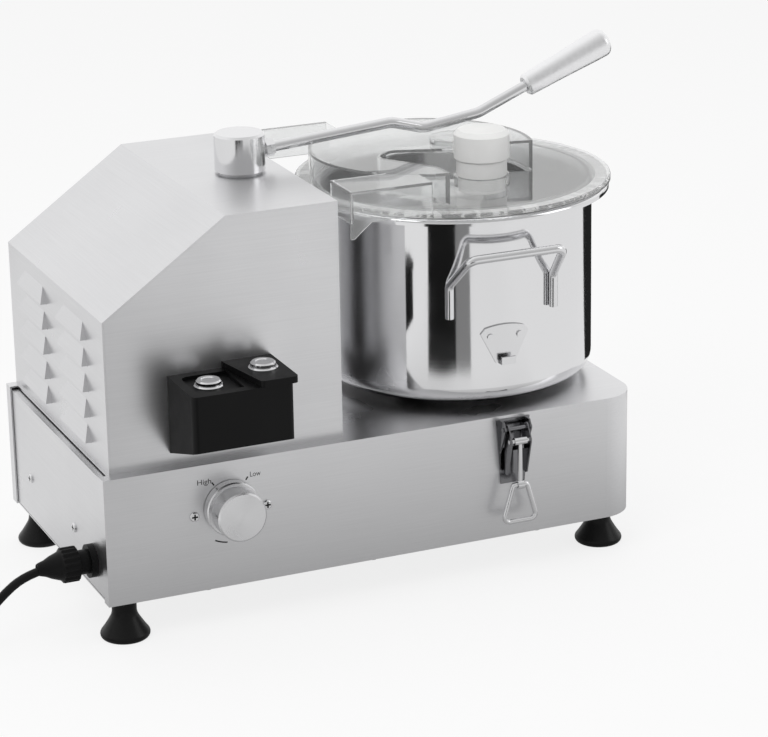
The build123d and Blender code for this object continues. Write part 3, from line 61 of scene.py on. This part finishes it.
# ---------------------------------------------------------------- camera
def make_camera():
    """The photograph's view: a long lens at the front left, looking down on the machine."""
    yaw = math.radians(23.23)
    pitch = math.radians(-18.73)
    roll = math.radians(-0.99)
    stand = Vector((-0.69574, -2.23441, 1.00406))
    focal_pixels = 2912.51
    frame_width = 768
    sensor = 36
    ahead = Vector((math.sin(yaw) * math.cos(pitch), math.cos(yaw) * math.cos(pitch),
                    math.sin(pitch)))
    level = Vector((math.cos(yaw), -math.sin(yaw), 0))
    upright = level.cross(ahead)
    right = level * math.cos(roll) + upright * math.sin(roll)
    up = upright * math.cos(roll) - level * math.sin(roll)
    data = bpy.data.cameras.new("camera")
    data.sensor_width = sensor
    data.lens = focal_pixels * sensor / frame_width
    data.clip_end = 100
    camera = bpy.data.objects.new("camera", data)
    turn = Matrix((right, up, -ahead)).transposed().to_4x4()
    corner = Vector((left, front, base_low.z))
    camera.matrix_world = Matrix.Translation(corner + stand) @ turn
    bpy.context.collection.objects.link(camera)
    bpy.context.scene.camera = camera


make_camera()


# ---------------------------------------------------------------- node material helpers
noise_middle = (0.3, 0.7)      # where most of the noise lies


def new_material(name):
    """A node material, its tree and its shader."""
    material = bpy.data.materials.new(name)
    material.use_nodes = True
    tree = material.node_tree
    shader = tree.nodes["Principled BSDF"]
    return material, tree, shader


def set_inputs(node, values):
    for key, value in values.items():
        node.inputs[key].default_value = value


def colour(value):
    """A colour input from a grey level or three values."""
    if isinstance(value, (int, float)):
        return (value, value, value, 1)
    return (*value, 1)


def scaled_position(tree, scale):
    """Object coordinates, multiplied by a scale along each axis."""
    place = tree.nodes.new("ShaderNodeTexCoord")
    mapping = tree.nodes.new("ShaderNodeMapping")
    mapping.vector_type = "TEXTURE"
    mapping.inputs["Scale"].default_value = [1 / value for value in scale]
    tree.links.new(place.outputs["Object"], mapping.inputs["Vector"])
    return mapping.outputs["Vector"]


def noise(tree, vector, scale=1, detail=2, roughness=0.5):
    texture = tree.nodes.new("ShaderNodeTexNoise")
    set_inputs(texture, {"Scale": scale, "Detail": detail, "Roughness": roughness})
    tree.links.new(vector, texture.inputs["Vector"])
    return texture.outputs["Fac"]


def span(tree, value, low, high, source):
    """Map a value from a source range onto low to high."""
    node = tree.nodes.new("ShaderNodeMapRange")
    set_inputs(node, {"From Min": source[0], "From Max": source[1], "To Min": low, "To Max": high})
    tree.links.new(value, node.inputs["Value"])
    return node.outputs["Result"]


def maths(tree, operation, first, second):
    """One maths node; each input is a socket or a number."""
    node = tree.nodes.new("ShaderNodeMath")
    node.operation = operation
    for socket, value in zip(node.inputs, (first, second)):
        if isinstance(value, (int, float)):
            socket.default_value = value
        else:
            tree.links.new(value, socket)
    return node.outputs[0]


def vector_maths(tree, operation, vector, second=None):
    """One vector maths node on a socket and, where given, a fixed vector."""
    node = tree.nodes.new("ShaderNodeVectorMath")
    node.operation = operation
    tree.links.new(vector, node.inputs[0])
    if second is not None:
        node.inputs[1].default_value = second
    return node.outputs


def parts_of(tree, vector):
    """The X, Y and Z of a vector socket."""
    split = tree.nodes.new("ShaderNodeSeparateXYZ")
    tree.links.new(vector, split.inputs["Vector"])
    return split.outputs


def tint(tree, shader, value, dark, light):
    """A base colour that runs from dark to light with a value."""
    ramp = tree.nodes.new("ShaderNodeMix")
    ramp.data_type = "RGBA"
    ramp.inputs["A"].default_value = colour(dark)
    ramp.inputs["B"].default_value = colour(light)
    tree.links.new(value, ramp.inputs["Factor"])
    tree.links.new(ramp.outputs["Result"], shader.inputs["Base Color"])


def bump(tree, shader, height, distance, strength):
    node = tree.nodes.new("ShaderNodeBump")
    set_inputs(node, {"Strength": strength, "Distance": distance})
    tree.links.new(height, node.inputs["Height"])
    tree.links.new(node.outputs["Normal"], shader.inputs["Normal"])


def grain_position(tree, fine, coarse):
    """Coordinates of a sheet grain: along X on front, back and top faces, along Y on end faces."""
    along_x = scaled_position(tree, (coarse, fine, fine))
    along_y = scaled_position(tree, (fine, coarse, fine))
    geometry = tree.nodes.new("ShaderNodeNewGeometry")
    sideways = maths(tree, "ABSOLUTE", parts_of(tree, geometry.outputs["True Normal"])["X"], 0)
    end_face = maths(tree, "GREATER_THAN", sideways, 0.55)
    pick = tree.nodes.new("ShaderNodeMix")
    pick.data_type = "VECTOR"
    tree.links.new(end_face, pick.inputs["Factor"])
    tree.links.new(along_x, pick.inputs["A"])
    tree.links.new(along_y, pick.inputs["B"])
    return pick.outputs["Result"]


def sheet_steel(name, dark, light, rough_low, rough_high):
    """Brushed stainless sheet: fine straight grain, with slow cloudy changes of sheen."""
    material, tree, shader = new_material(name)
    set_inputs(shader, {"Metallic": 1.0})
    grain = noise(tree, grain_position(tree, 900, 14), detail=3, roughness=0.6)
    cloud = noise(tree, scaled_position(tree, (9, 9, 9)), detail=3)
    tint(tree, shader, grain, dark, light)
    tree.links.new(span(tree, cloud, rough_low, rough_high, noise_middle),
                   shader.inputs["Roughness"])
    bump(tree, shader, grain, 0.00003, 0.35)
    return material


def turned_metal(name, centre, axis, base, rough, rings=2600, depth=0.00002, brushed=0.0):
    """Metal turned or spun about an axis, with fine rings."""
    material, tree, shader = new_material(name)
    set_inputs(shader, {"Metallic": 1.0, "Anisotropic": brushed})
    around = tree.nodes.new("ShaderNodeTangent")
    around.direction_type = "RADIAL"
    around.axis = "XYZ"[axis]
    tree.links.new(around.outputs["Tangent"], shader.inputs["Tangent"])
    across = [0.0 if axis == i else 1.0 for i in range(3)]
    place = tree.nodes.new("ShaderNodeTexCoord")
    shift = vector_maths(tree, "SUBTRACT", place.outputs["Object"], centre)["Vector"]
    flat = vector_maths(tree, "MULTIPLY", shift, across)["Vector"]
    both = tree.nodes.new("ShaderNodeCombineXYZ")
    tree.links.new(vector_maths(tree, "LENGTH", flat)["Value"], both.inputs["X"])
    tree.links.new(parts_of(tree, shift)["XYZ"[axis]], both.inputs["Y"])
    rings_noise = noise(tree, both.outputs["Vector"], scale=rings, detail=2)
    cloud = noise(tree, scaled_position(tree, (30, 30, 30)), detail=2)
    tint(tree, shader, rings_noise, [c * 0.93 for c in base], base)
    tree.links.new(span(tree, cloud, rough * 0.8, rough * 1.25, noise_middle),
                   shader.inputs["Roughness"])
    bump(tree, shader, rings_noise, depth, 0.3)
    return material


def plain_metal(name, base, rough, spots=60, depth=0.00001):
    """Polished or cast metal with faint handling marks."""
    material, tree, shader = new_material(name)
    set_inputs(shader, {"Metallic": 1.0})
    marks = noise(tree, scaled_position(tree, (spots, spots, spots)), detail=4, roughness=0.6)
    tint(tree, shader, marks, [c * 0.94 for c in base], base)
    tree.links.new(span(tree, marks, rough * 0.75, rough * 1.4, noise_middle),
                   shader.inputs["Roughness"])
    bump(tree, shader, marks, depth, 0.3)
    return material


def moulded(name, base, rough, pit_scale=1800, depth=0.00004, specular=0.5):
    """Moulded plastic or rubber: a fine pitted skin over a slow change of sheen."""
    material, tree, shader = new_material(name)
    pits = noise(tree, scaled_position(tree, (1, 1, 1)), scale=pit_scale, detail=2)
    cloud = noise(tree, scaled_position(tree, (25, 25, 25)), detail=3)
    tint(tree, shader, cloud, [c * 0.9 for c in base], [min(1, c * 1.06) for c in base])
    tree.links.new(span(tree, cloud, rough * 0.85, rough * 1.15, noise_middle),
                   shader.inputs["Roughness"])
    set_inputs(shader, {"Specular IOR Level": specular})
    bump(tree, shader, pits, depth, 0.4)
    return material


def clear_plastic(name, haze):
    """Clear moulded plastic, faintly scuffed and a little milky."""
    material, tree, shader = new_material(name)
    set_inputs(shader, {"Transmission Weight": 1 - haze, "IOR": 1.58})
    scuffs = noise(tree, scaled_position(tree, (40, 40, 40)), detail=4)
    tint(tree, shader, scuffs, (0.95, 0.96, 0.96), (0.99, 0.995, 0.995))
    tree.links.new(span(tree, scuffs, 0.02, 0.08, (0.35, 0.7)), shader.inputs["Roughness"])
    return material


# ---------------------------------------------------------------- materials
knob_centre = (knob_x, front, knob_z)
bowl_centre = (bowl_x, bowl_y, 0)
post_low, post_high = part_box("lever_post")
materials = {
    "casing": sheet_steel("casing_steel", (0.68, 0.68, 0.69), (0.76, 0.76, 0.77), 0.26, 0.36),
    "bowl": turned_metal("bowl_steel", bowl_centre, 2, (0.82, 0.82, 0.83), 0.07, 1500),
    "wire": plain_metal("polished_steel", (0.78, 0.78, 0.79), 0.14),
    "post": turned_metal("post_steel", ((post_low.x + post_high.x) / 2, bowl_y, 0), 2,
                         (0.80, 0.80, 0.81), 0.14),
    "knob": turned_metal("knob_aluminium", knob_centre, 1, (0.80, 0.80, 0.81), 0.24, 2200, 0.00004,
                         0.8),
    "latch": plain_metal("latch_steel", (0.24, 0.24, 0.25), 0.16),
    "grip": plain_metal("grip_aluminium", (0.93, 0.93, 0.94), 0.34, 200),
    "blade": plain_metal("blade_steel", (0.66, 0.67, 0.69), 0.28, 120),
    "works": plain_metal("machined_steel", (0.55, 0.55, 0.56), 0.38, 90),
    "iron": plain_metal("cast_iron", (0.28, 0.28, 0.29), 0.55, 300, 0.0002),
    "lid": clear_plastic("clear_lid", 0.08),
    "white": moulded("white_plastic", (0.86, 0.86, 0.85), 0.38),
    "black": moulded("black_plastic", (0.004, 0.004, 0.0042), 0.42, 1400, 0.00006, 0.15),
    "rubber": moulded("black_rubber", (0.004, 0.004, 0.004), 0.3, 900, 0.00004, 0.2),
    "cord": moulded("lead_rubber", (0.004, 0.004, 0.004), 0.38, 1200, 0.00004, 0.2),
    "gasket": moulded("gasket_silicone", (0.75, 0.75, 0.75), 0.4),
    "motor": moulded("motor_paint", (0.16, 0.18, 0.21), 0.4, 500, 0.0001),
    "board": moulded("board_green", (0.06, 0.22, 0.12), 0.45),
    # the black print material also paints shade into the cross recesses of the case screws
    "print": moulded("black_print", (0.012, 0.012, 0.012), 0.6),
}

node_materials = {
    "casing": ["base_casing", "bottom_plate", "left_end_plate", "housing_wrap",
               "housing_front_panel", "housing_rear_panel", "bowl_seat"],
    "bowl": ["bowl"],
    "wire": ["bowl_handles", "bowl_keepers", "lever_arm", "arm_lock_nut", "latch_rod_front",
             "latch_rod_rear", "latch_ring_front", "latch_ring_rear", "case_screws",
             "button_bezels", "start_button", "stop_button", "hub_screw"],
    "latch": ["latch_bases", "latch_lever_front", "latch_lever_rear"],
    "post": ["lever_post"],
    "knob": ["speed_knob"],
    "grip": ["lever_grip"],
    "blade": ["blade_lower", "blade_upper"],
    "works": ["foot_bolts", "lock_nuts", "bearings", "spindle", "spindle_pulley", "motor_rotor",
              "motor_pulley", "lever_bush", "speed_control_shaft"],
    "iron": ["bearing_housing"],
    "lid": ["lid"],
    "white": ["feed_plug", "blade_hub", "blade_spacer", "blade_collar_nut", "run_capacitor"],
    "black": ["switch_box", "switch_cap", "interlock_switch", "speed_control", "gland_body",
              "gland_nut", "mains_plug"],
    "rubber": ["feet", "shaft_seal", "drive_belt"],
    "gasket": ["lid_gasket"],
    "cord": ["cord_tube", "cord_coil"],
    "motor": ["motor_body"],
    "board": ["control_board"],
}
for key, names in node_materials.items():
    for name in names:
        nodes[name].data.materials.clear()
        nodes[name].data.materials.append(materials[key])
# the clear lid keeps no light from what it covers
nodes["lid"].visible_shadow = False
nodes["lid"].visible_diffuse = False


# ---------------------------------------------------------------- sizes of the added pieces
lead_radius = 0.004
coil_outer = 0.046             # middle line of the coil's outer turns
coil_inner = 0.038
coil_turns = 5.25
print_proud = 0.00006          # thickness of the dial's print
stroke = 0.0013                # width of the dial's lines


# ---------------------------------------------------------------- pieces in mesh code
def finish_piece(name, bm, material, body, smooth_angle=35):
    """Turn a built mesh into a named piece that rides a body."""
    bmesh.ops.recalc_face_normals(bm, faces=bm.faces)
    mesh = bpy.data.meshes.new(name)
    bm.to_mesh(mesh)
    bm.free()
    mesh.materials.append(materials[material])
    piece = bpy.data.objects.new(name, mesh)
    bpy.context.collection.objects.link(piece)
    mesh.shade_smooth()
    mesh.set_sharp_from_angle(angle=math.radians(smooth_angle))
    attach(piece, body)
    return piece


def ring_of(bm, turn, radius, height, steps, shape=None):
    """A ring of vertices about the local Z axis of turn; shape gives a factor for each angle."""
    verts = []
    for step in range(steps):
        angle = 2 * math.pi * step / steps
        r = radius * (shape(angle) if shape else 1)
        point = Vector((r * math.cos(angle), r * math.sin(angle), height))
        verts.append(bm.verts.new(turn @ point))
    return verts


def bridge(bm, first, second):
    """Close the band between two loops of as many vertices."""
    count = len(first)
    for i in range(count):
        j = (i + 1) % count
        bm.faces.new((first[i], first[j], second[j], second[i]))


def facing(place, direction):
    """A transform that puts local Z along a direction at a place."""
    turn = Vector(direction).to_track_quat("Z", "Y").to_matrix().to_4x4()
    return Matrix.Translation(place) @ turn


def add_screw(bm, place, direction, radius, head, shank, length):
    """A pan head screw with a cross recess: place is under the head, direction out of it."""
    turn = facing(place, direction)
    profile = ((shank, -length), (shank, 0), (radius, 0), (radius, head * 0.35),
               (radius * 0.93, head * 0.75), (radius * 0.78, head))
    rings = [ring_of(bm, turn, r, height, 24) for r, height in profile]
    bm.faces.new(rings[0])
    for first, second in zip(rings, rings[1:]):
        bridge(bm, first, second)
    long, wide = radius * 0.62, radius * 0.17
    outline = [(long, -wide), (long, wide), (wide, wide), (wide, long),
               (-wide, long), (-wide, wide), (-long, wide), (-long, -wide),
               (-wide, -wide), (-wide, -long), (wide, -long), (wide, -wide)]
    edge = [bm.verts.new(turn @ Vector((x, y, head))) for x, y in outline]
    deep = [bm.verts.new(turn @ Vector((x * 0.8, y * 0.8, head * 0.3))) for x, y in outline]
    bridge(bm, edge, deep)
    bm.faces.new(deep)
    # painted shade: the recess faces take the second material, the near-black print, in place of
    # the shade deep in the recess
    for face in {face for vert in deep for face in vert.link_faces}:
        face.material_index = 1
    loops = []
    for loop in (rings[-1], edge):
        for i, vert in enumerate(loop):
            after = loop[(i + 1) % len(loop)]
            loops.append(bm.edges.get((vert, after)) or bm.edges.new((vert, after)))
    bmesh.ops.triangle_fill(bm, use_beauty=True, edges=loops)


def islands(node):
    """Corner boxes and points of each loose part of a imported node, in a fixed order."""
    bm = bmesh.new()
    bm.from_mesh(node.data)
    bmesh.ops.remove_doubles(bm, verts=bm.verts, dist=1e-6)
    left_over = set(bm.verts)
    found = []
    while left_over:
        stack = [left_over.pop()]
        points = []
        while stack:
            vert = stack.pop()
            points.append(node.matrix_world @ vert.co)
            for link in vert.link_edges:
                other = link.other_vert(vert)
                if other in left_over:
                    left_over.remove(other)
                    stack.append(other)
        low = Vector([min(p[i] for p in points) for i in range(3)])
        high = Vector([max(p[i] for p in points) for i in range(3)])
        found.append((low, high, points))
    bm.free()
    return sorted(found, key=lambda part: tuple(part[0]))


def make_screws():
    """The case screws with cross recesses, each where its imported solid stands."""
    bm = bmesh.new()
    for low, high, points in islands(nodes["case_screws"]):
        size = high - low
        axis = max(range(3), key=lambda i: size[i])
        across = [i for i in range(3) if i != axis]
        middle = (low + high) / 2
        radius = max(size[i] for i in across) / 2
        rim = [p[axis] for p in points
               if sum((p - middle)[i] ** 2 for i in across) > (0.8 * radius) ** 2]
        outward = 1 if sum(rim) / len(rim) > middle[axis] else -1
        under = min(rim) if outward > 0 else max(rim)
        head = (high[axis] if outward > 0 else low[axis]) - under
        place = middle.copy()
        place[axis] = under
        direction = Vector((0, 0, 0))
        direction[axis] = outward
        add_screw(bm, place, direction, radius, abs(head), shank=0.002,
                  length=size[axis] - abs(head))
    screws = finish_piece("case_screws_detail", bm, "wire", "machine")
    # the second material is the black print, here painted shade in the cross recesses
    screws.data.materials.append(materials["print"])
    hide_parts("case_screws")


def make_gland_boot():
    """The ribbed nut of the cable gland and its tapered boot round the lead."""
    middle = Vector((0, (nut_low.y + nut_high.y) / 2, (nut_low.z + nut_high.z) / 2))
    base = Vector((nut_high.x, middle.y, middle.z))
    turn = facing(base, (-1, 0, 0))
    length = nut_high.x - nut_low.x
    tip = length + 0.013
    bore = 0.0112
    lead_hole = lead_radius + 0.00005
    rib_depth, rib_count = 0.045, 18

    def ribs(angle):
        return 1 + rib_depth * min(1, max(-1, 2.2 * math.cos(rib_count * angle)))

    outline = [(bore, 0.0, None), (0.0148, 0.0, None), (0.0151, 0.0005, ribs),
               (0.0151, 0.0135, ribs), (0.0146, 0.0145, None), (0.0136, 0.0150, None),
               (0.0128, 0.0162, None), (0.0100, length + 0.001, None),
               (0.0074, length + 0.006, None), (0.0058, length + 0.0115, None),
               (0.0050, tip, None), (lead_hole, tip, None),
               (lead_hole, 0.004, None), (bore, 0.004, None)]
    bm = bmesh.new()
    rings = [ring_of(bm, turn, r, height, 144, shape) for r, height, shape in outline]
    for first, second in zip(rings, rings[1:] + rings[:1]):
        bridge(bm, first, second)
    boot = finish_piece("gland_boot", bm, "black", "machine", 50)
    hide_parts("gland_nut")


def make_tie():
    """A hook and loop strap round the coil."""
    centre = (coil_low + coil_high) / 2
    away = math.radians(35)
    outward = Vector((math.cos(away), math.sin(away), 0))
    along = Vector((-outward.y, outward.x, 0))
    middle = (coil_outer + coil_inner) / 2
    bundle = 0.0082                # half the width of the coiled lead
    slack = 0.0009
    thickness = 0.0008
    half_width = 0.006
    corner = 0.004
    low, high = 0.0, coil_high.z + slack
    near, far = middle - bundle - slack, middle + bundle + slack
    loop = []
    for cx, cz, start in ((far - corner, high - corner, 0), (near + corner, high - corner, 90),
                          (near + corner, low + corner, 180), (far - corner, low + corner, 270)):
        for step in range(7):
            angle = math.radians(start + 15 * step)
            loop.append((cx + corner * math.cos(angle), cz + corner * math.sin(angle),
                         math.cos(angle), math.sin(angle)))
    bm = bmesh.new()
    rows = []
    for side, thick in ((-half_width, 0), (half_width, 0), (half_width, thickness),
                        (-half_width, thickness)):
        rows.append([bm.verts.new(Vector((centre.x, centre.y, z - nz * thick))
                                  + outward * (r - nr * thick) + along * side)
                     for r, z, nr, nz in loop])
    for first, second in zip(rows, rows[1:] + rows[:1]):
        bridge(bm, first, second)
    finish_piece("lead_tie", bm, "rubber", "machine")


def add_bar(bm, start, end):
    """A thin printed stroke on the front panel between two (x, z) points."""
    run = (Vector(end) - Vector(start)).normalized()
    side = Vector((-run.y, run.x)) * stroke / 2
    corners = [Vector(start) - side, Vector(start) + side, Vector(end) + side, Vector(end) - side]
    low = [bm.verts.new((c.x, front, c.y)) for c in corners]
    top = [bm.verts.new((c.x, front - print_proud, c.y)) for c in corners]
    bridge(bm, low, top)
    bm.faces.new(top)


def make_dial_print():
    """Black marks round the knob: two ticks, part of an arc and the two words."""
    bm = bmesh.new()
    centre = Vector((knob_x, knob_z))
    for side in (-1, 1):
        reach = Vector((side * 0.0152, 0.0227))
        add_bar(bm, centre + reach * 0.97, centre + reach * 1.10)
    arc_radius = 0.0333
    arc_start, arc_step = 242, 2.6
    turns = [math.radians(arc_start + arc_step * step) for step in range(9)]
    arc = [centre + arc_radius * Vector((math.cos(turn), math.sin(turn))) for turn in turns]
    for start, end in zip(arc, arc[1:]):
        add_bar(bm, start, end)
    finish_piece("dial_marks", bm, "print", "machine")
    letter_height, letter_rise = 0.0068, 0.0265
    for word, middle_x, wide in (("High", -0.0238, 0.0128), ("Low", 0.0236, 0.0098)):
        text = bpy.data.curves.new("dial_" + word, "FONT")
        text.body = word
        text.size = letter_height
        text.extrude = print_proud / 2
        text.align_x = "CENTER"
        text.align_y = "CENTER"
        text.materials.append(materials["print"])
        label = bpy.data.objects.new("dial_" + word, text)
        bpy.context.collection.objects.link(label)
        bpy.context.view_layer.update()
        label.rotation_euler = (math.pi / 2, 0, 0)
        label.location = (knob_x + middle_x, front - print_proud / 2, knob_z + letter_rise)
        label.scale.x = wide / label.dimensions.x
        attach(label, "machine")


def soften(name, width):
    """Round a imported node's sharp edges a little."""
    bevel = nodes[name].modifiers.new("edge", "BEVEL")
    bevel.width = width
    bevel.segments = 3
    bevel.limit_method = "ANGLE"
    bevel.angle_limit = math.radians(40)
    bevel.harden_normals = True


make_screws()
make_gland_boot()
make_tie()
make_dial_print()
soften("switch_box", 0.0015)
soften("switch_cap", 0.0010)
soften("base_casing", 0.0006)


# ---------------------------------------------------------------- mains lead
def make_cord():
    """The lead as one spline: out of the gland, down to the floor, and round the coil."""
    exit_point = Vector((nut_low.x, (nut_low.y + nut_high.y) / 2, (nut_low.z + nut_high.z) / 2))
    radius = lead_radius
    floor = radius + 0.0001
    gx, gy, gz = left, exit_point.y, exit_point.z
    route = [
        tuple(exit_point),
        (gx - 0.060, gy - 0.0005, gz - 0.002),
        (gx - 0.086, gy - 0.003, gz - 0.019),
        (gx - 0.108, gy - 0.007, gz - 0.041),
        (gx - 0.131, gy - 0.012, floor + 0.005),
        (gx - 0.158, gy - 0.015, floor),
        (gx - 0.184, gy - 0.015, floor),
    ]
    centre = Vector((route[-1][0] - 0.030, route[-1][1] - coil_outer))
    layers = [(coil_outer, 0), (coil_inner, 0), (coil_inner, 1), (coil_outer, 1), (coil_outer, 2),
              (coil_outer, 2)]
    steps = 16
    swell = 1 / math.cos(math.pi / steps) ** 0.5
    for step in range(int(coil_turns * steps) + 1):
        share = step / steps
        turn = min(int(share), len(layers) - 2)
        ease = min(1, max(0, (share - turn - 0.75) * 4))
        ease = ease * ease * (3 - 2 * ease)
        r = layers[turn][0] * (1 - ease) + layers[turn + 1][0] * ease
        z = layers[turn][1] * (1 - ease) + layers[turn + 1][1] * ease
        angle = math.pi / 2 + share * 2 * math.pi
        route.append((centre.x + r * swell * math.cos(angle),
                      centre.y + r * swell * math.sin(angle),
                      floor + z * 2 * radius))
    tail_x = (plug_low.x + plug_high.x) / 2
    tail_z = (plug_low.z + plug_high.z) / 2
    route.append((tail_x, centre.y - 0.014, (route[-1][2] + tail_z) / 2))
    route.append((tail_x, plug_high.y + 0.010, tail_z))
    route.append((tail_x, plug_high.y - 0.002, tail_z))
    curve = bpy.data.curves.new("mains_lead", "CURVE")
    curve.dimensions = "3D"
    curve.bevel_depth = radius
    curve.bevel_resolution = 5
    curve.use_fill_caps = True
    spline = curve.splines.new("NURBS")
    spline.points.add(len(route) - 1)
    for point, place in zip(spline.points, route):
        point.co = (*place, 1)
    spline.order_u = 3
    spline.use_endpoint_u = True
    spline.resolution_u = 6
    cord = bpy.data.objects.new("mains_lead", curve)
    bpy.context.collection.objects.link(cord)
    curve.materials.append(materials["cord"])
    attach(cord, "machine")
    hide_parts("cord_tube", "cord_coil")


make_cord()


# ---------------------------------------------------------------- floor, world and lamps
def ray_kinds(tree):
    """(seen straight or through clear plastic, seen in metal, seen in metal under the lid)."""
    path = tree.nodes.new("ShaderNodeLightPath")
    direct = maths(tree, "MAXIMUM", path.outputs["Is Camera Ray"],
                   path.outputs["Is Transmission Ray"])
    bounced = maths(tree, "GREATER_THAN", path.outputs["Glossy Depth"], 0.5)
    under_lid = maths(tree, "MULTIPLY", bounced, path.outputs["Is Transmission Ray"])
    return direct, path.outputs["Is Glossy Ray"], under_lid


def reflected_floor(tree):
    """How bright the floor looks in metal: dimmer close in front of the machine."""
    far, near, beyond = 0.84, 0.36, 0.88
    place = parts_of(tree, tree.nodes.new("ShaderNodeTexCoord").outputs["Object"])
    ahead = span(tree, place["Y"], far, near, (-0.66, -0.18))
    left_side = span(tree, place["X"], 1, 0, (-0.55, -0.25))
    right_side = span(tree, place["X"], 0, 1, (0.30, 0.55))
    beside = maths(tree, "MAXIMUM", left_side, right_side)
    behind = span(tree, place["Y"], 0, 1, (-0.10, 0.20))
    open_side = maths(tree, "MAXIMUM", beside, behind)
    dim = maths(tree, "MULTIPLY", maths(tree, "SUBTRACT", 1, open_side), ahead)
    return maths(tree, "ADD", maths(tree, "MULTIPLY", open_side, beyond), dim)


def choose(tree, factor, first, second):
    """The first shader where the factor is 0 and the second where it is 1."""
    mix = tree.nodes.new("ShaderNodeMixShader")
    for socket, value in zip(mix.inputs, (factor, first, second)):
        tree.links.new(value, socket)
    return mix.outputs["Shader"]


def white_light(tree, kind, strength):
    """A white Emission or Background shader; the strength is a number or a socket."""
    node = tree.nodes.new("ShaderNode" + kind)
    set_inputs(node, {"Color": colour(1.0)})
    if isinstance(strength, (int, float)):
        set_inputs(node, {"Strength": strength})
    else:
        tree.links.new(strength, node.inputs["Strength"])
    return node.outputs[kind]


def make_stage():
    """A pale floor that shows white and keeps the machine's shadow."""
    bpy.ops.mesh.primitive_plane_add(size=30, location=(0, 0, 0))
    floor = bpy.context.object
    floor.name = "floor"
    material, tree, shader = new_material("floor")
    set_inputs(shader, {"Base Color": colour(0.9), "Roughness": 0.9, "Specular IOR Level": 0.1})
    seen, in_metal, _ = ray_kinds(tree)
    glow = 0.8
    shown = choose(tree, maths(tree, "MULTIPLY", seen, glow), shader.outputs["BSDF"],
                   white_light(tree, "Emission", 1.0))
    mirrored = choose(tree, maths(tree, "MULTIPLY", in_metal, glow), shown,
                      white_light(tree, "Emission", reflected_floor(tree)))
    tree.links.new(mirrored, tree.nodes["Material Output"].inputs["Surface"])
    floor.data.materials.append(material)


def make_world():
    """White to the camera, plain light on the object, and a room that metal sees."""
    world = bpy.data.worlds.new("studio")
    bpy.context.scene.world = world
    world.use_nodes = True
    tree = world.node_tree
    tree.nodes.remove(tree.nodes["Background"])
    fill_light, seen_light, lid_light = 0.62, 1.0, 0.36
    room_front, room_back = 0.528, 1.0
    seen, in_metal, under_lid = ray_kinds(tree)
    toward = parts_of(tree, tree.nodes.new("ShaderNodeTexCoord").outputs["Generated"])
    room = span(tree, toward["Y"], room_front, room_back, (-0.75, 0.25))
    shown = choose(tree, seen, white_light(tree, "Background", fill_light),
                   white_light(tree, "Background", seen_light))
    mirrored = choose(tree, in_metal, shown, white_light(tree, "Background", room))
    shaded = choose(tree, under_lid, mirrored, white_light(tree, "Background", lid_light))
    tree.links.new(shaded, tree.nodes["World Output"].inputs["Surface"])


def make_lamp(name, place, size, power, mirrored):
    """A soft lamp aimed at the machine; mirrored says whether metal shows it."""
    data = bpy.data.lights.new(name, "AREA")
    data.shape = "RECTANGLE"
    data.size, data.size_y = size
    data.energy = power
    lamp = bpy.data.objects.new(name, data)
    lamp.location = place
    target = Vector((0, 0, 0.2))
    lamp.rotation_euler = (target - lamp.location).to_track_quat("-Z", "Y").to_euler()
    lamp.visible_glossy = mirrored
    bpy.context.collection.objects.link(lamp)


def floor_strip(name, near, angle_low, angle_high, shade):
    """A dark board on the floor, seen only in reflections: it fans out from the bowl between two
    compass angles."""
    far = 2.4
    lift = 0.0005
    corners = []
    for reach, angle in ((near, angle_low), (far, angle_low),
                         (far, angle_high), (near, angle_high)):
        turn = math.radians(angle)
        corners.append((bowl_x + reach * math.sin(turn), bowl_y + reach * math.cos(turn), lift))
    mesh = bpy.data.meshes.new(name)
    mesh.from_pydata(corners, [], [list(range(len(corners)))])
    flag = bpy.data.objects.new(name, mesh)
    bpy.context.collection.objects.link(flag)
    material, _, shader = new_material(name)
    set_inputs(shader, {"Base Color": colour(shade), "Roughness": 1.0, "Specular IOR Level": 0.0})
    mesh.materials.append(material)
    flag.visible_camera = False
    flag.visible_transmission = False
    flag.visible_diffuse = False
    flag.visible_shadow = False


make_stage()
make_world()
floor_strip("flag_front", 0.70, 203, 224, 0.01)
floor_strip("flag_front_edge", 0.70, 192, 203, 0.25)
floor_strip("flag_right", 0.5, 42, 74, 0.02)
floor_strip("flag_back", 0.5, -22, -4, 0.02)
make_lamp("key", (-1.6, -1.2, 2.2), (1.6, 1.2), 19, mirrored=False)
make_lamp("fill", (2.2, -1.4, 1.3), (1.2, 1.6), 6, mirrored=True)
make_lamp("top", (0.2, 0.6, 2.4), (2.0, 1.6), 11, mirrored=False)

bpy.context.scene.view_settings.view_transform = "Standard"
